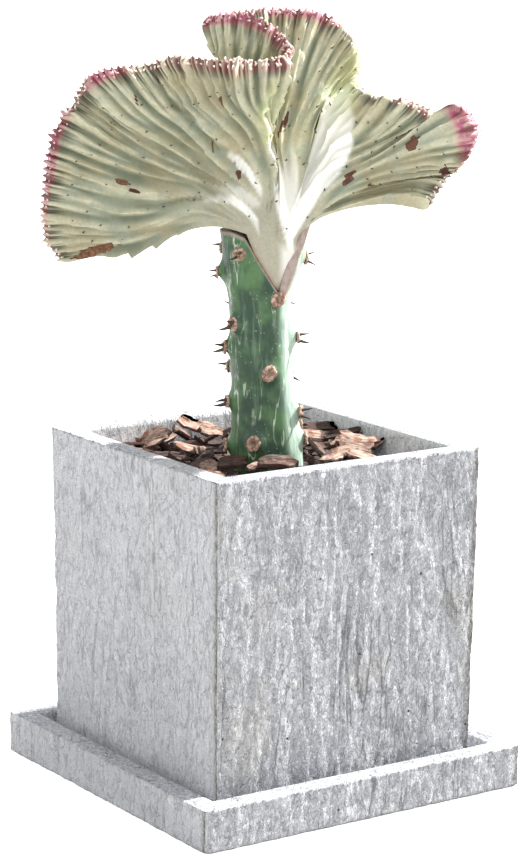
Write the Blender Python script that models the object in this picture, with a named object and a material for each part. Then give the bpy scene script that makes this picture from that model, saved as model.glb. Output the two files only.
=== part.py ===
"""Crested succulent grafted on a green stock, planted in a square cement pot that stands on a saucer."""

import math
import random

import bpy
import bmesh
import numpy as np
from mathutils import Vector
from mathutils.bvhtree import BVHTree

MM = 0.001
GAP = 0.3

# Saucer and pot, in mm
SAUCER_SIDE = 182.0
SAUCER_HEIGHT = 21.0
SAUCER_FLOOR = 10.0
SAUCER_WALL = 11.0
POT_BASE_Z = SAUCER_FLOOR + GAP
POT_TOP_Z = 167.8
POT_TOP_SIDE = 150.0
POT_BASE_SIDE = 148.2
POT_WALL = 11.5
POT_FLOOR = 12.0
DRAIN_RADIUS = 8.0
STONE_RELIEF = 0.55
EDGE_WEAR = 0.9

# Soil and bark, in mm
SOIL_TOP_Z = 148.0
BED_TOP_Z = 153.5
CHIP_COUNT = 92
CHIP_LENGTH = (9.0, 19.0)
CHIP_WIDTH = (5.0, 9.5)
CHIP_THICK = (2.0, 4.2)

# The crest spreads along SPREAD, and DEPTH is square to it; shape tables below are (spread, depth, z) in mm
SPREAD_ANGLE = math.radians(-34.1)
SPREAD = np.array([math.cos(SPREAD_ANGLE), math.sin(SPREAD_ANGLE), 0.0])
DEPTH = np.array([-math.sin(SPREAD_ANGLE), math.cos(SPREAD_ANGLE), 0.0])
UP = np.array([0.0, 0.0, 1.0])

# Stock: height, spread of the axis, half width along SPREAD, half width along DEPTH
STOCK_PROFILE = (
    (92.0, 4.5, 5.0, 5.0),
    (110.0, 4.2, 10.0, 10.0),
    (132.0, 3.6, 14.5, 14.5),
    (150.0, 2.7, 17.4, 16.6),
    (162.0, 2.1, 17.0, 16.2),
    (174.0, 1.0, 16.0, 15.4),
    (188.0, -0.1, 15.2, 15.0),
    (210.0, -1.2, 14.9, 14.8),
    (235.0, -2.3, 15.0, 14.8),
    (242.0, -2.4, 16.0, 15.0),
    (250.0, -1.9, 18.2, 15.6),
    (264.0, -0.8, 20.2, 16.0),
    (273.0, -0.1, 22.2, 16.2),
    (283.0, 0.4, 23.6, 16.2),
)
# Knobs of the stock: angle round the axis from the front towards +SPREAD, height, spine length
KNOBS = (
    (-29, 259, 5.5), (-90, 248, 5.0), (30, 237.5, 0.0), (-46, 225, 7.5), (-78, 212.5, 7.5),
    (12, 202, 0.0), (90, 217, 7.0), (106, 255, 6.0), (-76, 186, 8.0), (76, 181, 6.5),
    (-18, 168, 0.0), (-86, 164, 0.0), (88, 167.5, 0.0), (140, 234, 7.0), (-142, 229, 7.0),
    (180, 211, 7.0), (134, 197, 7.0), (-122, 201, 6.5), (-160, 179, 7.0), (124, 172, 0.0),
    (-166, 245, 6.0), (-126, 259, 6.0),
)
KNOB_RISE = 2.6
KNOB_RADIUS = 3.9

# V cut of the graft, seen square to SPREAD: (spread, z) from the tip up each side
CUT_TIP = (7.7, 238.6)
CUT_LEFT = ((-9.3, 266.4), (-16.0, 268.8), (-31.0, 268.6))
CUT_RIGHT = ((13.2, 250.4), (16.4, 262.0), (19.4, 269.6), (20.8, 271.4), (32.0, 271.4))

# Growing edge of the crest from its lower left end to its lower right end
MARGIN = (
    (-98.0, 4.0, 254.2), (-103.9, 0.0, 262.9), (-105.9, -4.0, 276.8), (-104.7, -6.0, 291.4),
    (-103.2, -6.0, 304.7), (-99.6, -8.0, 316.7), (-95.7, -5.0, 322.9), (-91.7, 0.0, 328.3),
    (-88.2, -1.0, 334.3), (-83.5, -8.0, 341.2), (-74.8, -13.0, 345.4), (-64.6, -10.0, 346.7),
    (-54.3, -11.0, 347.8), (-45.7, -15.0, 351.4), (-35.4, -20.0, 351.8), (-24.1, -25.0, 350.9),
    (-9.7, -28.0, 350.8), (2.7, -27.0, 351.3), (10.2, -18.0, 353.4), (9.7, -7.0, 358.7),
    (0.7, -2.0, 366.7), (-12.4, 0.0, 371.1), (-23.8, 5.0, 369.8), (-27.8, 15.0, 367.3),
    (-22.3, 26.0, 368.6), (-7.9, 32.0, 370.8), (5.5, 33.0, 371.4), (16.1, 32.0, 371.1),
    (26.7, 31.0, 369.9), (36.3, 31.0, 363.3), (42.8, 32.0, 356.0), (46.0, 32.0, 348.2),
    (45.0, 29.0, 340.7), (46.0, 21.0, 335.0), (50.0, 11.0, 332.2), (56.5, 2.0, 331.6),
    (65.2, -3.0, 331.4), (74.1, 0.0, 328.1), (81.0, 2.5, 324.6), (87.0, 2.0, 325.2),
    (92.9, -1.0, 326.8), (98.0, -5.0, 324.0), (100.3, -7.0, 317.0), (97.5, -1.0, 307.8),
    (92.2, 8.0, 299.1), (86.6, 8.0, 292.4), (82.2, 4.0, 286.1), (77.8, 0.0, 280.3),
)
# Foot of the crest, where it leaves the cut, and the point that its ribs spread from
FOOT_LEFT = np.array([-8.6, 0.0, 268.4])
FOOT_RIGHT = np.array([15.0, 0.0, 263.4])
FOCUS = np.array([-1.4, 0.0, 287.8])
RIB_START_AT = (0.0, 0.15, 0.3, 0.42, 0.6, 0.8, 1.0)
RIB_START_ANGLE = (-66.0, -50.0, -30.0, -10.0, 4.0, 17.0, 8.0)
FOLD_BLUR = 0.13
FOLD_POWER = 1.2
# Hand shaping of the sheet: place along the edge, place foot to edge, reach of each, shift in mm
SHIFTS = (
    (0.00, 0.62, 0.16, 0.28, (0.0, 0.0, -9.0)),
    (1.00, 0.50, 0.12, 0.30, (0.0, 0.0, -1.5)),
    (0.76, 0.50, 0.06, 0.30, (0.0, 6.0, 0.0)),
    (0.38, 0.50, 0.06, 0.22, (5.0, -5.0, 0.0)),
    (0.49, 0.62, 0.06, 0.25, (-5.0, 3.0, 0.0)),
    (0.58, 0.52, 0.06, 0.18, (0.0, 4.0, 0.0)),
)
# Ridges and valleys between neighbouring rows of points: rise from foot to edge, height in mm
RIDGE_AT = (0.0, 0.1, 0.25, 0.36, 0.6, 0.66, 0.9, 1.0)
RIDGE_HEIGHT = (0.0, 0.2, 1.1, 1.3, 1.7, 0.9, 1.0, 1.3)
TOOTH = 0.9
# Main pleats: (foot to edge, along the edge) path, height in mm, half width along the edge
PLEATS = (
    (((0.1, 0.13), (0.6, 0.06), (1.0, 0.055)), 3.8, 0.024),
    (((0.1, 0.22), (0.5, 0.175), (1.0, 0.21)), 3.8, 0.024),
    (((0.1, 0.31), (0.5, 0.30), (1.0, 0.29)), 4.2, 0.026),
    (((0.1, 0.45), (0.5, 0.44), (1.0, 0.45)), 3.6, 0.024),
    (((0.1, 0.60), (0.5, 0.62), (1.0, 0.62)), 2.6, 0.024),
    (((0.1, 0.71), (0.5, 0.715), (1.0, 0.72)), 3.8, 0.022),
    (((0.1, 0.88), (0.45, 0.85), (0.7, 0.78), (1.0, 0.75)), 5.2, 0.028),
    (((0.1, 0.95), (0.5, 0.93), (1.0, 0.93)), 2.8, 0.022),
)
FOLD_ROOM = 0.6
SLIM_ROUNDS = 16
WEDGE_ROWS = 4
SAMPLES = 800
SHEET_ROWS = (
    (0.0, 20), (0.05, 20), (0.11, 20), (0.18, 40), (0.25, 40), (0.32, 40), (0.39, 80), (0.46, 80),
    (0.53, 80), (0.60, 80), (0.67, 160), (0.74, 160), (0.81, 160), (0.88, 160), (0.94, 160), (0.985, 160),
)


def clear_scene():
    for obj in list(bpy.data.objects):
        bpy.data.objects.remove(obj, do_unlink=True)


def make_material(name, color, roughness):
    material = bpy.data.materials.new(name)
    material.use_nodes = True
    shader = material.node_tree.nodes["Principled BSDF"]
    shader.inputs["Base Color"].default_value = (*color, 1.0)
    shader.inputs["Roughness"].default_value = roughness
    return material


def make_object(name, points, faces, material=None, smooth=False):
    """Object from points in mm and faces, with its normals turned outwards."""
    mesh = bpy.data.meshes.new(name)
    mesh.from_pydata([tuple(float(c) * MM for c in p) for p in points], [], [tuple(map(int, f)) for f in faces])
    shape = bmesh.new()
    shape.from_mesh(mesh)
    bmesh.ops.recalc_face_normals(shape, faces=shape.faces)
    for face in shape.faces:
        face.smooth = smooth
    shape.to_mesh(mesh)
    shape.free()
    obj = bpy.data.objects.new(name, mesh)
    bpy.context.scene.collection.objects.link(obj)
    if material:
        mesh.materials.append(material)
    return obj


def add_cut(obj, cutter):
    cutter.hide_render = True
    cutter.display_type = "WIRE"
    cut = obj.modifiers.new("cut_" + cutter.name, "BOOLEAN")
    cut.operation = "DIFFERENCE"
    cut.object = cutter


def fuse(obj, pieces):
    """Joins the pieces to the object for good and removes them."""
    group = bpy.data.collections.new(obj.name + "_pieces")
    for piece in pieces:
        bpy.context.scene.collection.objects.unlink(piece)
        group.objects.link(piece)
    join = obj.modifiers.new("join", "BOOLEAN")
    join.operation = "UNION"
    join.operand_type = "COLLECTION"
    join.collection = group
    mesh = bpy.data.meshes.new_from_object(obj.evaluated_get(bpy.context.evaluated_depsgraph_get()))
    obj.modifiers.clear()
    obj.data = mesh
    for piece in pieces:
        bpy.data.objects.remove(piece, do_unlink=True)
    bpy.data.collections.remove(group)


def smoothstep(low, high, x):
    k = np.clip((x - low) / (high - low), 0.0, 1.0)
    return k * k * (3.0 - 2.0 * k)


def to_world(points):
    """(spread, depth, z) to x, y, z."""
    points = np.asarray(points, float)
    return points[..., 0:1] * SPREAD + points[..., 1:2] * DEPTH + points[..., 2:3] * UP


# Cement pieces


def square_ring(side, z, per_side):
    """Points round a square, from its -X -Y corner along -Y first, with the outward direction of each."""
    half = side / 2
    corners = ((-half, -half), (half, -half), (half, half), (-half, half))
    points = []
    outward = []
    for i in range(4):
        (x0, y0), (x1, y1) = corners[i], corners[(i + 1) % 4]
        normal = ((y1 - y0) / side, (x0 - x1) / side)
        before = ((corners[i][1] - corners[i - 1][1]) / side, (corners[i - 1][0] - corners[i][0]) / side)
        for k in range(per_side):
            share = k / per_side
            points.append((x0 + (x1 - x0) * share, y0 + (y1 - y0) * share, z))
            if k:
                outward.append((normal[0], normal[1], 0.0))
            else:
                outward.append((normal[0] + before[0], normal[1] + before[1], 0.0))
    return np.array(points), np.array(outward)


def split_block(name, levels, per_side, seed, material):
    """Square block with a split, vertically grained surface. levels: (z, side) from the base up."""
    rng = np.random.default_rng(seed)
    count = 4 * per_side
    relief = rng.normal(0.0, 1.0, (len(levels), count))
    for _ in range(2):
        relief[1:-1] = (relief[:-2] + 2.0 * relief[1:-1] + relief[2:]) / 4.0
    relief = (np.roll(relief, 1, axis=1) + 3.0 * relief + np.roll(relief, -1, axis=1)) / 5.0
    relief *= STONE_RELIEF / relief.std()
    relief = np.clip(relief, -1.6 * STONE_RELIEF, 1.6 * STONE_RELIEF)
    relief[0] -= 0.8
    relief[-1] -= 0.6
    points = []
    for level, (z, side) in enumerate(levels):
        ring, outward = square_ring(side, z, per_side)
        ring = ring + outward * (relief[level] - STONE_RELIEF)[:, None]
        if level == len(levels) - 1:
            ring[:, 2] -= EDGE_WEAR * rng.random(count)
        points.extend(ring)
    lip, _ = square_ring(levels[-1][1] - 5.0, levels[-1][0], per_side)
    points.extend(lip)
    faces = []
    for level in range(len(levels)):
        for k in range(count):
            a = level * count + k
            b = level * count + (k + 1) % count
            faces.append((a, b, b + count, a + count))
    faces.append(tuple(range(count))[::-1])
    faces.append(tuple(len(levels) * count + k for k in range(count)))
    return make_object(name, points, faces, material)


def tapered_block(name, base_z, base_side, top_z, top_side, material=None):
    points = []
    for z, side in ((base_z, base_side), (top_z, top_side)):
        half = side / 2
        points += [(-half, -half, z), (half, -half, z), (half, half, z), (-half, half, z)]
    faces = [(0, 1, 5, 4), (1, 2, 6, 5), (2, 3, 7, 6), (3, 0, 4, 7), (3, 2, 1, 0), (4, 5, 6, 7)]
    return make_object(name, points, faces, material)


def round_bar(name, radius, base_z, top_z, segments=24):
    points = []
    for z in (base_z, top_z):
        for k in range(segments):
            turn = 2 * math.pi * k / segments
            points.append((radius * math.cos(turn), radius * math.sin(turn), z))
    faces = [(k, (k + 1) % segments, segments + (k + 1) % segments, segments + k) for k in range(segments)]
    faces.append(tuple(range(segments))[::-1])
    faces.append(tuple(range(segments, 2 * segments)))
    return make_object(name, points, faces)


def inner_side(z):
    """Side of the pot's square inside at height z."""
    share = (z - POT_BASE_Z) / (POT_TOP_Z - POT_BASE_Z)
    return POT_BASE_SIDE + (POT_TOP_SIDE - POT_BASE_SIDE) * share - 2 * POT_WALL


def build_saucer(cement):
    levels = [(z, SAUCER_SIDE) for z in (0.0, 7.0, 14.0, SAUCER_HEIGHT)]
    saucer = split_block("saucer", levels, 18, 11, cement)
    side = SAUCER_SIDE - 2 * SAUCER_WALL
    add_cut(saucer, tapered_block("saucer_pocket", SAUCER_FLOOR, side - 1.0, SAUCER_HEIGHT + 1.0, side))


def build_pot(cement):
    count = 12
    levels = []
    for i in range(count + 1):
        share = i / count
        z = POT_BASE_Z + (POT_TOP_Z - POT_BASE_Z) * share
        levels.append((z, POT_BASE_SIDE + (POT_TOP_SIDE - POT_BASE_SIDE) * share))
    pot = split_block("pot", levels, 13, 5, cement)
    floor_z = POT_BASE_Z + POT_FLOOR
    add_cut(pot, tapered_block("pot_inside", floor_z, inner_side(floor_z), POT_TOP_Z + 1.0, inner_side(POT_TOP_Z)))
    add_cut(pot, round_bar("drain", DRAIN_RADIUS, POT_BASE_Z - 1.0, floor_z + 1.0))


# Stock


def stock_at(z):
    table = np.array(STOCK_PROFILE)
    return [np.interp(z, table[:, 0], table[:, k]) for k in (1, 2, 3)]


def stock_shell(name, heights, extra, segments, knobs, material=None):
    """Closed skin of the stock between the given heights, grown outwards by extra(z)."""
    points = []
    for z in heights:
        centre, half_spread, half_depth = stock_at(z)
        for k in range(segments):
            turn = 2 * math.pi * k / segments
            grow = extra(z) + 0.35 * math.cos(5 * turn + z / 60.0) * float(smoothstep(150.0, 165.0, z))
            for angle, height, _ in knobs:
                apart = math.remainder(turn - math.radians(angle), 2 * math.pi) * half_spread
                away = math.hypot(apart, z - height) / KNOB_RADIUS
                grow += KNOB_RISE * math.exp(-(away**2.4))
            spread = centre + (half_spread + grow) * math.sin(turn)
            points.append((spread, -(half_depth + grow) * math.cos(turn), z))
    faces = []
    for row in range(len(heights) - 1):
        for k in range(segments):
            a = row * segments + k
            b = row * segments + (k + 1) % segments
            faces.append((a, b, b + segments, a + segments))
    faces.append(tuple(range(segments))[::-1])
    faces.append(tuple(range((len(heights) - 1) * segments, len(heights) * segments)))
    return make_object(name, to_world(points), faces, material, smooth=True)


def needle(name, foot, direction, length, radius):
    """Three-sided spine from foot along direction."""
    direction = Vector(direction).normalized()
    side = direction.orthogonal().normalized()
    across = direction.cross(side)
    points = []
    for k in range(3):
        turn = 2 * math.pi * k / 3
        points.append(Vector(foot) + radius * (math.cos(turn) * side + math.sin(turn) * across))
    points.append(Vector(foot) + direction * length)
    return make_object(name, points, [(0, 1, 2), (0, 1, 3), (1, 2, 3), (2, 0, 3)])


def build_stock(flesh):
    heights = [92.0, 104.0, 118.0, 132.0, 144.0, 150.0]
    heights += list(np.arange(154.0, 282.0, 4.0)) + [283.0]
    stock = stock_shell("stock", heights, lambda z: 0.0, 28, KNOBS, flesh)
    spines = []
    for number, (angle, height, length) in enumerate(KNOBS):
        if not length:
            continue
        centre, half_spread, half_depth = stock_at(height)
        turn = math.radians(angle)
        out = to_world((math.sin(turn), -math.cos(turn), 0.0))
        along = to_world((math.cos(turn), math.sin(turn), 0.0))
        surface = to_world((centre + half_spread * math.sin(turn), -half_depth * math.cos(turn), height))
        for side in (-1, 1):
            direction = out * 0.9 + along * 0.5 * side + UP * 0.12 * side
            foot = surface + out * (KNOB_RISE - 1.6) + along * 0.9 * side
            spines.append(needle(f"spine_{number}_{side}", foot, direction, length + 1.6, 0.55))
    fuse(stock, spines)
    cut = [CUT_TIP, *CUT_RIGHT, (CUT_RIGHT[-1][0] + 8.0, 300.0), (CUT_LEFT[-1][0] - 6.0, 300.0), *CUT_LEFT[::-1]]
    points = [(spread, depth, z) for depth in (-40.0, 40.0) for spread, z in cut]
    count = len(cut)
    faces = [(k, (k + 1) % count, count + (k + 1) % count, count + k) for k in range(count)]
    faces.append(tuple(range(count))[::-1])
    faces.append(tuple(range(count, 2 * count)))
    add_cut(stock, make_object("graft_cut", to_world(points), faces))
    return stock


# Soil and bark


def build_soil(earth):
    base_z = POT_BASE_Z + POT_FLOOR + GAP
    sides = [inner_side(z) - 2 * GAP for z in (base_z, SOIL_TOP_Z)]
    soil = tapered_block("soil", base_z, sides[0], SOIL_TOP_Z, sides[1], earth)
    heights = [91.0, 104.0, 118.0, 132.0, 144.0, 150.0]
    add_cut(soil, stock_shell("root_hole", heights, lambda z: GAP + 0.2, 28, ()))


def chip(rng, centre, length, width, thick, heading, tilt, roll):
    """Bark chip: a flat six-sided sliver with slanted ends."""
    outline = []
    for x, y in ((-0.5, -0.28), (-0.22, -0.5), (0.3, -0.46), (0.5, 0.1), (0.24, 0.5), (-0.34, 0.44)):
        outline.append((x * length * rng.uniform(0.88, 1.1), y * width * rng.uniform(0.85, 1.12)))
    points = []
    for level in (-0.5, 0.5):
        for x, y in outline:
            shrink = 0.9 if level > 0 else 1.0
            local = Vector((x * shrink, y * shrink, level * thick * rng.uniform(0.8, 1.15)))
            local = Vector((local.x, local.y * math.cos(roll) - local.z * math.sin(roll), local.y * math.sin(roll) + local.z * math.cos(roll)))
            local = Vector((local.x * math.cos(tilt) - local.z * math.sin(tilt), local.y, local.x * math.sin(tilt) + local.z * math.cos(tilt)))
            local = Vector((local.x * math.cos(heading) - local.y * math.sin(heading), local.x * math.sin(heading) + local.y * math.cos(heading), local.z))
            points.append(Vector(centre) + local)
    faces = [(k, (k + 1) % 6, 6 + (k + 1) % 6, 6 + k) for k in range(6)]
    for k in range(1, 5):
        faces.append((0, k + 1, k))
        faces.append((6, 6 + k, 7 + k))
    return points, faces


def mulch_hole_extra(z):
    return 0.5 if z < 156.0 else KNOB_RISE + 1.0


def build_mulch(bark):
    rng = random.Random(4)
    base_z = SOIL_TOP_Z + GAP
    sides = [inner_side(z) - 2 * GAP for z in (base_z, BED_TOP_Z)]
    mulch = tapered_block("bark_mulch", base_z, sides[0], BED_TOP_Z, sides[1], bark)
    centre = to_world((stock_at(BED_TOP_Z)[0], 0.0, BED_TOP_Z))
    placed = []
    chips = []
    while len(chips) < CHIP_COUNT:
        length = rng.uniform(*CHIP_LENGTH)
        width = rng.uniform(*CHIP_WIDTH)
        x = rng.uniform(-sides[1] / 2 + 4, sides[1] / 2 - 4)
        y = rng.uniform(-sides[1] / 2 + 4, sides[1] / 2 - 4)
        if any(math.hypot(x - px, y - py) < 7.6 for px, py in placed):
            continue
        angles = (rng.uniform(0, math.pi), math.radians(rng.uniform(-19, 19)), math.radians(rng.uniform(-26, 26)))
        points, faces = chip(rng, (x, y, 0.0), length, width, rng.uniform(*CHIP_THICK), *angles)
        lift = BED_TOP_Z - rng.uniform(0.9, 2.4) - min(p[2] for p in points)
        points = [p + Vector((0.0, 0.0, lift)) for p in points]
        wall = inner_side(BED_TOP_Z) / 2 - 2 * GAP
        if max(max(abs(p[0]), abs(p[1])) for p in points) > wall:
            continue
        if any(math.hypot(p[0] - centre[0], p[1] - centre[1]) < (18.4 if p[2] < 155.8 else 21.4) for p in points):
            continue
        if min(p[2] for p in points) < base_z + 0.2:
            continue
        placed.append((x, y))
        chips.append(make_object(f"chip_{len(chips)}", points, faces))
    fuse(mulch, chips)
    heights = [145.0, 150.0, 155.9, 156.1, 160.0, 166.0]
    add_cut(mulch, stock_shell("mulch_hole", heights, mulch_hole_extra, 28, ()))


# Crest


def smooth_curve(points, count):
    """Even samples of a smooth curve through the points."""
    points = np.asarray(points, float)
    knots = np.concatenate([[0.0], np.cumsum(np.linalg.norm(np.diff(points, axis=0), axis=1) ** 0.5)])
    span = np.diff(knots)[:, None]
    slope = np.diff(points, axis=0) / span
    tangent = np.empty_like(points)
    tangent[0] = slope[0]
    tangent[-1] = slope[-1]
    tangent[1:-1] = (slope[:-1] * span[1:] + slope[1:] * span[:-1]) / (span[1:] + span[:-1])
    x = np.linspace(0.0, knots[-1], 6001)
    i = np.clip(np.searchsorted(knots, x, "right") - 1, 0, len(knots) - 2)
    width = (knots[i + 1] - knots[i])[:, None]
    k = (x - knots[i])[:, None] / width
    curve = (2 * k**3 - 3 * k**2 + 1) * points[i] + (k**3 - 2 * k**2 + k) * width * tangent[i]
    curve += (-2 * k**3 + 3 * k**2) * points[i + 1] + (k**3 - k**2) * width * tangent[i + 1]
    length = np.concatenate([[0.0], np.cumsum(np.linalg.norm(np.diff(curve, axis=0), axis=1))])
    even = np.linspace(0.0, length[-1], count)
    return np.stack([np.interp(even, length, curve[:, axis]) for axis in range(3)], axis=1)


def blur(values, reach):
    """Gaussian blur along the first axis, mirrored through both end values. reach is a share of the axis."""
    count = len(values)
    half = int(math.ceil(3 * reach * (count - 1)))
    if half < 1:
        return values.copy()
    weight = np.exp(-0.5 * (np.arange(-half, half + 1) / (reach * (count - 1))) ** 2)
    weight /= weight.sum()
    before = 2 * values[0] - values[np.clip(np.arange(half, 0, -1), 0, count - 1)]
    after = 2 * values[-1] - values[np.clip(count - 1 - np.arange(1, half + 1), 0, count - 1)]
    padded = np.concatenate([before, values, after])
    return np.stack([np.convolve(padded[:, axis], weight, "valid") for axis in range(values.shape[1])], axis=1)


def unit(vectors):
    return vectors / np.linalg.norm(vectors, axis=-1, keepdims=True)


def sheet_rows(rises):
    """Middle of the crest's sheet: one row of samples along the edge for each rise from foot (0) to edge (1)."""
    along = np.linspace(0.0, 1.0, SAMPLES + 1)
    edge = smooth_curve(MARGIN, SAMPLES + 1)
    foot = FOOT_LEFT + (FOOT_RIGHT - FOOT_LEFT) * along[:, None]
    tangent = unit(blur(np.gradient(edge, axis=0), 0.012))
    ray = edge - FOCUS
    outward = unit(ray - np.sum(ray * tangent, axis=1)[:, None] * tangent)
    share = (0.65 - 0.6 * np.exp(-(((along - 0.885) / 0.05) ** 2)))[:, None]
    arrive = unit(blur(share * outward + (1 - share) * unit(ray), 0.012))
    angle = np.interp(along, RIB_START_AT, RIB_START_ANGLE)[:, None]
    angle = np.radians(blur(angle, 0.05))[:, 0]
    start = np.stack([np.sin(angle), 0 * angle, np.cos(angle)], axis=1)
    rows = []
    for rise in rises:
        reach = FOLD_BLUR * (1 - rise) ** FOLD_POWER
        target = blur(edge, reach)
        heading = unit(blur(arrive, max(0.7 * reach, 0.018 + 0.05 * (1 - rise))))
        length = np.linalg.norm(target - foot, axis=1)[:, None]
        first = foot + start * length * 0.30
        second = target - heading * length * 0.38
        row = (1 - rise) ** 3 * foot + 3 * (1 - rise) ** 2 * rise * first
        row += 3 * (1 - rise) * rise**2 * second + rise**3 * target
        for at, up, reach_at, reach_up, shift in SHIFTS:
            weight = np.exp(-(((along - at) / reach_at) ** 2) - ((rise - up) / reach_up) ** 2)
            row = row + weight[:, None] * min(1.0, 6 * rise) * np.array(shift)
        rows.append(row)
    return np.array(rows), along


def pleat_height(rise, along):
    """How far the main pleats push the sheet to its front."""
    height = np.zeros_like(along)
    for path, rise_mm, half_width in PLEATS:
        steps = np.array(path)
        centre = np.interp(rise, steps[:, 0], steps[:, 1])
        fade = float(smoothstep(0.06, 0.32, rise) * (1.0 - smoothstep(0.62, 0.95, rise)))
        height += rise_mm * fade * np.exp(-(((along - centre) / half_width) ** 2))
    return height


def half_thickness(rise, along):
    centre, half_spread, half_depth = stock_at(265.0)
    spread = FOOT_LEFT[0] + (FOOT_RIGHT[0] - FOOT_LEFT[0]) * along
    chord = half_depth * np.sqrt(np.clip(1 - ((spread - centre) / (half_spread + 2.0)) ** 2, 0.05, 1.0)) - 0.6
    sheet = 4.5 - 1.2 * float(smoothstep(0.3, 1.0, rise))
    fold = 0.8 * smoothstep(0.33, 0.4, along) * (1 - smoothstep(0.5, 0.56, along)) * float(smoothstep(0.2, 0.5, rise))
    tip = 2.4 * np.exp(-(((along - 0.905) / 0.045) ** 2)) * float(smoothstep(0.6, 1.0, rise))
    share = float(smoothstep(0.0, 0.34, rise) ** 0.8)
    return chord * (1 - share) + (sheet + tip - fold) * share


def stitch(lower, upper):
    """Triangles between two strings of point numbers, each taken as evenly spaced."""
    faces = []
    i = 0
    j = 0
    while i < len(lower) - 1 or j < len(upper) - 1:
        next_lower = (i + 1) / (len(lower) - 1) if i < len(lower) - 1 else 2.0
        next_upper = (j + 1) / (len(upper) - 1) if j < len(upper) - 1 else 2.0
        if next_lower <= next_upper:
            faces.append((lower[i], lower[i + 1], upper[j]))
            i += 1
        else:
            faces.append((lower[i], upper[j + 1], upper[j]))
            j += 1
    return faces


def crest_loops():
    """Rows of the crest from the wedge's tip up: for each, middle, normal, depth to its front and to its back."""
    loops = []
    cut_left = np.array([CUT_TIP, *CUT_LEFT])
    cut_right = np.array([CUT_TIP, *CUT_RIGHT])
    for z, columns in ((240.4, 3), (246.0, 6), (253.0, 10), (260.0, 16)):
        centre, half_spread, half_depth = stock_at(z)
        left = np.interp(z, cut_left[:, 1], cut_left[:, 0]) + GAP * 1.3
        right = np.interp(z, cut_right[:, 1], cut_right[:, 0]) - GAP * 1.3
        spread = np.linspace(left, right, columns + 1)
        chord = half_depth * np.sqrt(1 - ((spread - centre) / (half_spread + 1.5)) ** 2) - 0.3
        height = np.full_like(spread, z)
        middle = np.stack([spread, 0 * spread, height], axis=1)
        loops.append((middle, np.tile((0.0, -1.0, 0.0), (columns + 1, 1)), chord, chord))
    rises = [rise for rise, _ in SHEET_ROWS] + [1.0]
    rows, along = sheet_rows(rises)
    across = unit(np.gradient(rows, axis=1))
    climb = np.gradient(rows, np.array(rises), axis=0)
    normals = unit(np.cross(across, climb))
    normals = np.array([unit(blur(n, 0.006)) for n in normals])
    rng = np.random.default_rng(21)
    for number, (rise, columns) in enumerate(SHEET_ROWS):
        step = SAMPLES // columns
        pace = np.gradient(rows[number], axis=0)
        pace_mm = np.linalg.norm(pace, axis=1)
        bend = np.sum(np.gradient(normals[number], axis=0) * pace, axis=1) / pace_mm**2
        bend = blur(bend[:, None], 0.008)[:, 0]
        half = half_thickness(rise, along)
        middle = rows[number] + normals[number] * pleat_height(rise, along)[:, None]
        ridge = np.where(np.arange(columns + 1) % 2 == 0, 1.0, -1.0) * rng.uniform(0.8, 1.2, columns + 1)
        tooth = TOOTH * ((np.arange(columns + 1) // 2 + number) % 2) * (ridge > 0) * float(smoothstep(0.1, 0.3, rise))
        height = float(np.interp(rise, RIDGE_AT, RIDGE_HEIGHT))
        height_mm = np.minimum(height, 0.42 * pace_mm[::step] * step)
        sides = []
        for side in (1.0, -1.0):
            turn = np.minimum(side * bend, -1e-4)
            depth = half / (1.0 + (half / (FOLD_ROOM / -turn)) ** 3) ** (1.0 / 3.0) if rise > 0.2 else half
            stretch = np.clip(1.0 + side * bend * depth, 0.15, 1.0)[::step]
            relief = (ridge + tooth) * height_mm * stretch
            relief[[0, -1]] = 0.0
            sides.append(depth[::step] * (1.0 if rise < 0.96 else 0.8) + relief)
        loops.append((middle[::step], normals[number, ::step], *sides))
    return loops, rows, normals, along


def crest_skin(loops, edge_line, slim):
    """Points and faces of the closed crest, and for each row the numbers of its front and back points."""
    points = []
    strings = []
    for number, (middle, normal, to_front, to_back) in enumerate(loops):
        front = middle + normal * (to_front * slim[number][0])[:, None]
        back = middle - normal * (to_back * slim[number][1])[:, None]
        first = len(points)
        count = len(front)
        points.extend(front)
        points.extend(back)
        front_ids = list(range(first, first + count))
        back_ids = list(range(first + count, first + 2 * count))
        sides = []
        for end, inner in ((0, 1), (-1, -2)):
            outward = unit(middle[end] - middle[inner])
            gap = np.linalg.norm(front[end] - back[end])
            bulge = min(0.3 * gap, 2.4) * float(smoothstep(WEDGE_ROWS + 2, WEDGE_ROWS + 5, number))
            start = len(points)
            points.append((3 * front[end] + back[end]) / 4 + outward * bulge * 0.7)
            points.append((front[end] + back[end]) / 2 + outward * bulge)
            points.append((front[end] + 3 * back[end]) / 4 + outward * bulge * 0.7)
            sides.append([front_ids[end], start, start + 1, start + 2, back_ids[end]])
        strings.append((front_ids, back_ids, sides[0], sides[1]))
    faces = []
    for below, above in zip(strings, strings[1:]):
        for lower, upper in zip(below, above):
            faces += stitch(lower, upper)
    first = len(points)
    points.extend(edge_line)
    edge_ids = list(range(first, first + len(edge_line)))
    front_ids, back_ids, left_side, right_side = strings[-1]
    faces += stitch(front_ids, edge_ids) + stitch(back_ids, edge_ids)
    for side, tip in ((left_side, edge_ids[0]), (right_side, edge_ids[-1])):
        faces += [(side[k], side[k + 1], tip) for k in range(4)]
    front_ids, back_ids, left_side, right_side = strings[0]
    faces.append(tuple(front_ids + right_side[1:-1] + back_ids[::-1] + left_side[-2:0:-1]))
    return np.array(points), faces, [ids[:2] for ids in strings]


def touching_points(points, faces):
    """Numbers of the points whose faces run through other faces of the same skin."""
    tree = BVHTree.FromPolygons([Vector(p) for p in points], faces)
    touched = set()
    for a, b in tree.overlap(tree):
        if a < b and not set(faces[a]) & set(faces[b]):
            touched.update(faces[a])
            touched.update(faces[b])
    return touched


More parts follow.
